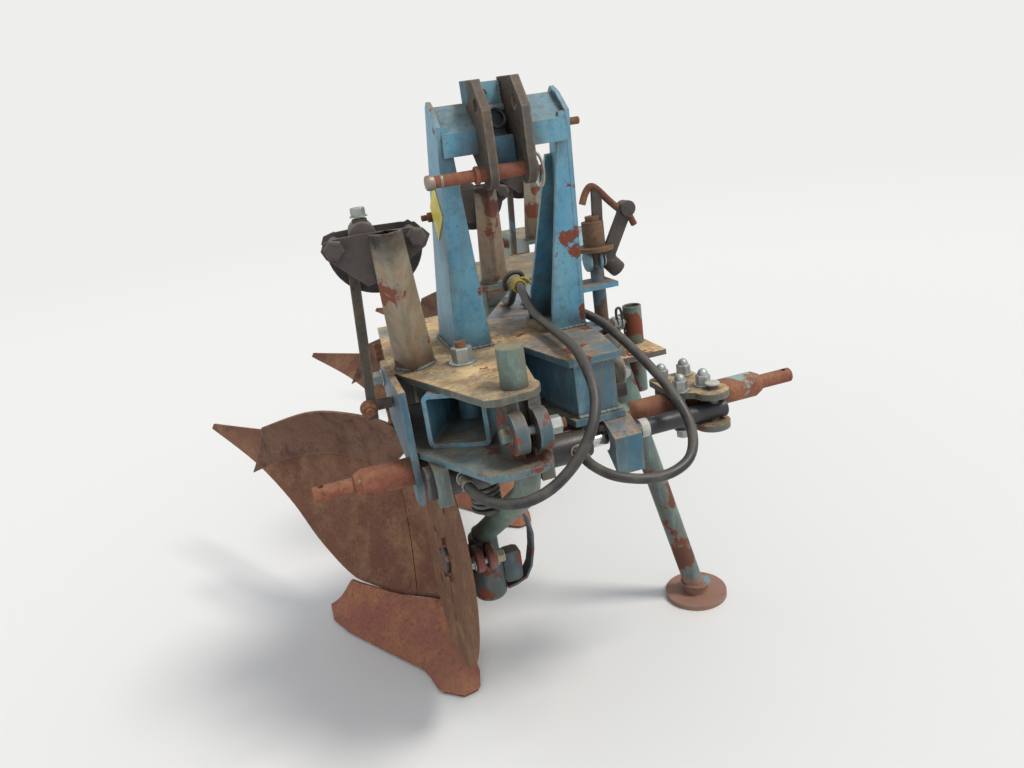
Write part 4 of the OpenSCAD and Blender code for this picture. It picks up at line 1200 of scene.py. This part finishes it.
def flat_bar(name, start, end, width, thickness, finish, normal=(0, 1, 0)):
    """A flat bar with rounded ends between two points, its flat side square to normal."""
    start, end = at(*start), at(*end)
    span = end - start
    half, length = width / 2, span.length
    outline = ([(half * math.cos(math.radians(a)), half * math.sin(math.radians(a)))
                for a in range(90, 271, 20)]
               + [(length + half * math.cos(math.radians(a)), half * math.sin(math.radians(a)))
                  for a in range(-90, 91, 20)])
    bar = cut_plate(name, outline, thickness)
    x_way = span.normalized()
    z_way = Vector(normal).normalized()
    y_way = z_way.cross(x_way).normalized()
    turn = Matrix((x_way, y_way, x_way.cross(y_way))).transposed().to_4x4()
    return painted(moved(bar, Matrix.Translation(start) @ turn), finish)


def depth_gear():
    """Clevis, lever and bent handle on the depth spindle."""
    parts = [fitted("bolt_nut", 0.026, "nut", (318, 500, 838), (1, 0, 0))]
    for x in (278, 306):
        plate = primitive("cylinder", "clevis", vertices=40, radius=0.027, depth=0.009)
        soften(plate, 0.003)
        parts.append(painted(moved(plate, set_at((x, 500, 839), (1, 0, 0))), "pale_blue"))
    parts += [flat_bar("upright", (310, 500, 868), (318, 500, 1000), 0.026, 0.010, "head"),
              flat_bar("lever", (330, 492, 846), (388, 492, 952), 0.034, 0.012, "head")]
    parts += rods(("bolt", "zinc", (274, 500, 840), (322, 500, 838), 0.009),
                  ("lever_boss", "head", (388, 476, 950), (388, 512, 950), 0.019),
                  ("handle_pin", "bolt_rust", (380, 486, 962), (404, 486, 908), 0.008),
                  ("damper", "head", (312, 508, 856), (362, 508, 800), 0.021, 0.004))
    handle = [(279, 500, 975), (290, 500, 1000), (305, 500, 1014), (322, 500, 1004),
              (348, 500, 975), (372, 500, 952), (388, 500, 946)]
    parts.append(wire("handle", "bolt_rust", handle, 0.0085))
    gear = join("depth_gear", parts)
    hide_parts("depth_crank")
    return dress(gear, "frame")


# Fastenings and welds

def frame_fastenings():
    """Bolts, nuts and washers of the head plates, the coulter clamp and the plough legs."""
    parts = [fitted("head_nut", 0.034, "nut", (-155.8, 69.5, 785), UP, 0.35, reach=0.3),
             painted(moved(washer("head_washer", 0.026, 0.003), set_at((-155.8, 69.5, 785), UP)),
                     "zinc"),
             fitted("head_bolt", 0.034, "head", (-155.8, 69.5, 663), -UP),
             fitted("lug_nut", 0.027, "nut", (-88.6, -168, 724), (1, 0, 0), 0.5, reach=0.3),
             fitted("lug_bolt", 0.023, "head", (-147.4, -168, 724), (-1, 0, 0),
                    metal="green_blue"),
             fitted("plate_nut", 0.024, "nut", (-292, 190, 754), (-1, 0, 0), reach=0.35),
             *rods(("lug_shank", "zinc", (-147, -168, 724), (-89, -168, 724), 0.0079),
                   ("grease_stem", "zinc", (-302, 150, 716), (-291, 150, 716), 0.004))]
    out = body_direction(-1, 0, 0)
    for k in range(3):
        for y, z in ((235, 606), (305, 606), (250, 742), (320, 742)):
            parts += [moved(fastener("leg_bolt", 0.026, "head", metal="bolt_rust"),
                            set_on_body(k, (-42.6, y, z), out, y)),
                      moved(fastener("leg_nut", 0.026, metal="bolt_rust"),
                            set_on_body(k, (8, y, z), -out, z))]
    return dress(join("frame_bolts", parts), "frame")


def welds():
    """Weld beads at the feet of the mast legs and towers, on the frame box and the web."""
    beads = []
    for side in (-1, 1):
        x = -20 + side * 134
        foot = [(x - side * 74, 137, 787), (x, 137, 787), (x + side * 2, 287, 787),
                (x - side * 74, 287, 787)]
        beads.append(weld(f"leg_foot_{side + 1}", [at(*p) for p in foot], 0.0042))
    for k in range(3):
        line = []
        for angle in (math.tau * number / 16 for number in range(17)):
            reach = 33 * (1 + 0.07 * math.cos(4 * angle))
            line.append(on_body(k, 5 + reach * math.cos(angle),
                                -20 + reach * 1.13 * math.sin(angle), 787))
        beads.append(weld(f"tower_foot_{k}", line, 0.0042))
    corners = [(10, -57), (86, -57), (102, 63), (108, 329)]
    for name, z, radius in (("box_foot", 677, 0.0038), ("box_top", 771, 0.0032)):
        beads.append(weld(name, [at(x, y, z) for x, y in corners], radius))
    for x in (-53, -7):
        beads.append(weld(f"web_{x}", [at(x, 112, 1150), at(x, 112, 1248)], 0.0026))
    return dress(join("weld_beads", beads), "frame")


# Settings, operators and panel

CAMERA_PLACE = (-409.1, -1211.6, 1170.2)
CAMERA_TURN = (14.77, 18.66, -8.40)
CAMERA_LENS = 26.33
BACKGROUND = (0.86, 0.86, 0.85, 1)
SKY = (0.86, 0.90, 0.96, 1)
SKY_STRENGTH = 0.78
SUN_STRENGTH = 2.0
SUN_ANGLE = math.radians(14)
SUN_WAY = Vector((-0.55, 0.42, -1.0))


class PloughLook(bpy.types.PropertyGroup):
    hose_diameter: bpy.props.FloatProperty(
        name="Hose diameter", description="Outside diameter of the hydraulic hoses",
        default=0.018, min=0.014, max=0.02, unit="LENGTH")
    floor_colour: bpy.props.FloatVectorProperty(
        name="Floor", description="Colour of the studio floor", subtype="COLOR", size=3,
        default=(0.74, 0.73, 0.71), min=0, max=1)


class PLOUGH_OT_stage(bpy.types.Operator):
    """Builds the camera, the lights and the floor"""
    bl_idname = "plough.stage"
    bl_label = "Studio"

    def execute(self, context):
        look = context.scene.plough_look
        scene = context.scene
        scene.view_settings.view_transform = "Standard"
        yaw, pitch, roll = (math.radians(angle) for angle in CAMERA_TURN)
        forward = Vector((math.sin(yaw) * math.cos(pitch), math.cos(yaw) * math.cos(pitch),
                          -math.sin(pitch)))
        level = Vector((math.cos(yaw), -math.sin(yaw), 0))
        above = level.cross(forward)
        right = math.cos(roll) * level + math.sin(roll) * above
        up = -math.sin(roll) * level + math.cos(roll) * above
        camera_data = bpy.data.cameras.new("camera")
        camera_data.lens = CAMERA_LENS
        camera_data.sensor_width = 36
        camera = bpy.data.objects.new("camera", camera_data)
        scene.collection.objects.link(camera)
        turn = Matrix((right, up, -forward)).transposed().to_4x4()
        camera.matrix_world = Matrix.Translation(at(*CAMERA_PLACE)) @ turn
        scene.camera = camera

        floor = primitive("plane", "floor", size=60, location=(0, 0, -0.0005))
        material, n, shader = new_material("studio_floor")
        shader.inputs["Base Color"].default_value = (*look.floor_colour, 1)
        shader.inputs["Roughness"].default_value = 0.9
        place = n.add("VectorMath", "Value", {0: n.here()}, operation="LENGTH")
        fade = n.math("MULTIPLY", n.level(place, 4.0, 10.0), n.seen_ray())
        glow = n.add("Emission", 0, {"Color": BACKGROUND, "Strength": 1.0})
        both = n.add("MixShader", 0, {0: fade, 1: shader.outputs[0], 2: glow})
        output = next(x for x in n.tree.nodes if x.type == "OUTPUT_MATERIAL")
        n.tree.links.new(both, output.inputs[0])
        floor.data.materials.append(material)

        world = bpy.data.worlds.new("studio")
        scene.world = world
        world.use_nodes = True
        w = Nodes(world.node_tree)
        world.node_tree.nodes.clear()
        seen = w.seen_ray()
        sky = w.add("Background", 0, {"Color": SKY, "Strength": SKY_STRENGTH})
        shown = w.add("Background", 0, {"Color": BACKGROUND, "Strength": 1.0})
        both = w.add("MixShader", 0, {0: seen, 1: sky, 2: shown})
        output = world.node_tree.nodes.new("ShaderNodeOutputWorld")
        world.node_tree.links.new(both, output.inputs[0])

        sun = bpy.data.lights.new("key", "SUN")
        sun.energy = SUN_STRENGTH
        sun.angle = SUN_ANGLE
        sun.color = (1.0, 0.97, 0.92)
        lamp = bpy.data.objects.new("key", sun)
        scene.collection.objects.link(lamp)
        lamp.rotation_mode = "QUATERNION"
        lamp.rotation_quaternion = SUN_WAY.to_track_quat("-Z", "Y")
        return {"FINISHED"}


class PLOUGH_OT_hoses(bpy.types.Operator):
    """Lays the two hydraulic hoses along their routes"""
    bl_idname = "plough.hoses"
    bl_label = "Hydraulic hoses"

    def execute(self, context):
        diameter = context.scene.plough_look.hose_diameter
        hose_piece("hose_left", "hose_1", HOSE_LEFT, diameter)
        hose_piece("hose_right", "hose_2", HOSE_RIGHT, diameter)
        return {"FINISHED"}


class PLOUGH_OT_bodies(bpy.types.Operator):
    """Builds the shares, moldboards, trash boards and their bolts"""
    bl_idname = "plough.bodies"
    bl_label = "Shares and boards"

    def execute(self, context):
        for k in range(3):
            earth_moving_parts(k)
        trash_strips()
        landside_bolts()
        return {"FINISHED"}


class PLOUGH_OT_coulter(bpy.types.Operator):
    """Builds the rolling disc, its cast pivot and the stalk's spring"""
    bl_idname = "plough.coulter"
    bl_label = "Disc coulter"

    def execute(self, context):
        coulter_disc()
        coulter_casting()
        coil_spring()
        return {"FINISHED"}


class PLOUGH_OT_hitch(bpy.types.Operator):
    """Adds the pin ends, linch pin, bracket web, sign, studs and rope tie"""
    bl_idname = "plough.hitch"
    bl_label = "Hitch and mast details"

    def execute(self, context):
        top_link_fastening()
        bracket_web()
        mast_studs()
        hose_tie()
        warning_diamond()
        return {"FINISHED"}


class PLOUGH_OT_release(bpy.types.Operator):
    """Adds pin caps, adjusting bolts and tower plugs to the release heads"""
    bl_idname = "plough.release"
    bl_label = "Release heads"

    def execute(self, context):
        release_details()
        return {"FINISHED"}


class PLOUGH_OT_cylinder(bpy.types.Operator):
    """Adds the shaft clamp's dome nuts and the cylinder's fittings"""
    bl_idname = "plough.cylinder"
    bl_label = "Cylinder details"

    def execute(self, context):
        shaft_nuts()
        cylinder_details()
        return {"FINISHED"}


class PLOUGH_OT_stand(bpy.types.Operator):
    """Adds the foot's rim and the fittings by the stowage tube"""
    bl_idname = "plough.stand"
    bl_label = "Stand and stowage"

    def execute(self, context):
        stand_details()
        return {"FINISHED"}


class PLOUGH_OT_depth(bpy.types.Operator):
    """Builds the clevis, lever and handle on the depth spindle"""
    bl_idname = "plough.depth"
    bl_label = "Depth gear"

    def execute(self, context):
        depth_gear()
        return {"FINISHED"}


class PLOUGH_OT_fastenings(bpy.types.Operator):
    """Adds the frame's bolts and weld beads"""
    bl_idname = "plough.fastenings"
    bl_label = "Bolts and welds"

    def execute(self, context):
        frame_fastenings()
        welds()
        return {"FINISHED"}


class PLOUGH_OT_finish(bpy.types.Operator):
    """Gives every part of the frame its paint, rust or plating"""
    bl_idname = "plough.finish"
    bl_label = "Paint and rust"

    def execute(self, context):
        finish_nodes()
        return {"FINISHED"}


class PLOUGH_PT_panel(bpy.types.Panel):
    """Lists the plough's pieces in the sidebar"""
    bl_idname = "PLOUGH_PT_panel"
    bl_label = "Plough"
    bl_space_type = "VIEW_3D"
    bl_region_type = "UI"
    bl_category = "Plough"

    def draw(self, context):
        look = context.scene.plough_look
        for name in PloughLook.__annotations__:
            self.layout.prop(look, name)
        for operator in OPERATORS:
            self.layout.operator(operator.bl_idname)


OPERATORS = (PLOUGH_OT_stage, PLOUGH_OT_hoses, PLOUGH_OT_bodies, PLOUGH_OT_coulter, PLOUGH_OT_hitch,
             PLOUGH_OT_release, PLOUGH_OT_cylinder, PLOUGH_OT_stand, PLOUGH_OT_depth,
             PLOUGH_OT_fastenings, PLOUGH_OT_finish)
CLASSES = (PloughLook, *OPERATORS, PLOUGH_PT_panel)


def register():
    for each in CLASSES:
        bpy.utils.register_class(each)
    bpy.types.Scene.plough_look = bpy.props.PointerProperty(type=PloughLook)


def unregister():
    del bpy.types.Scene.plough_look
    for each in reversed(CLASSES):
        bpy.utils.unregister_class(each)


def main():
    register()
    make_materials()
    for operator in OPERATORS:
        group, name = operator.bl_idname.split(".")
        getattr(getattr(bpy.ops, group), name)()


if __name__ == "__main__":
    main()
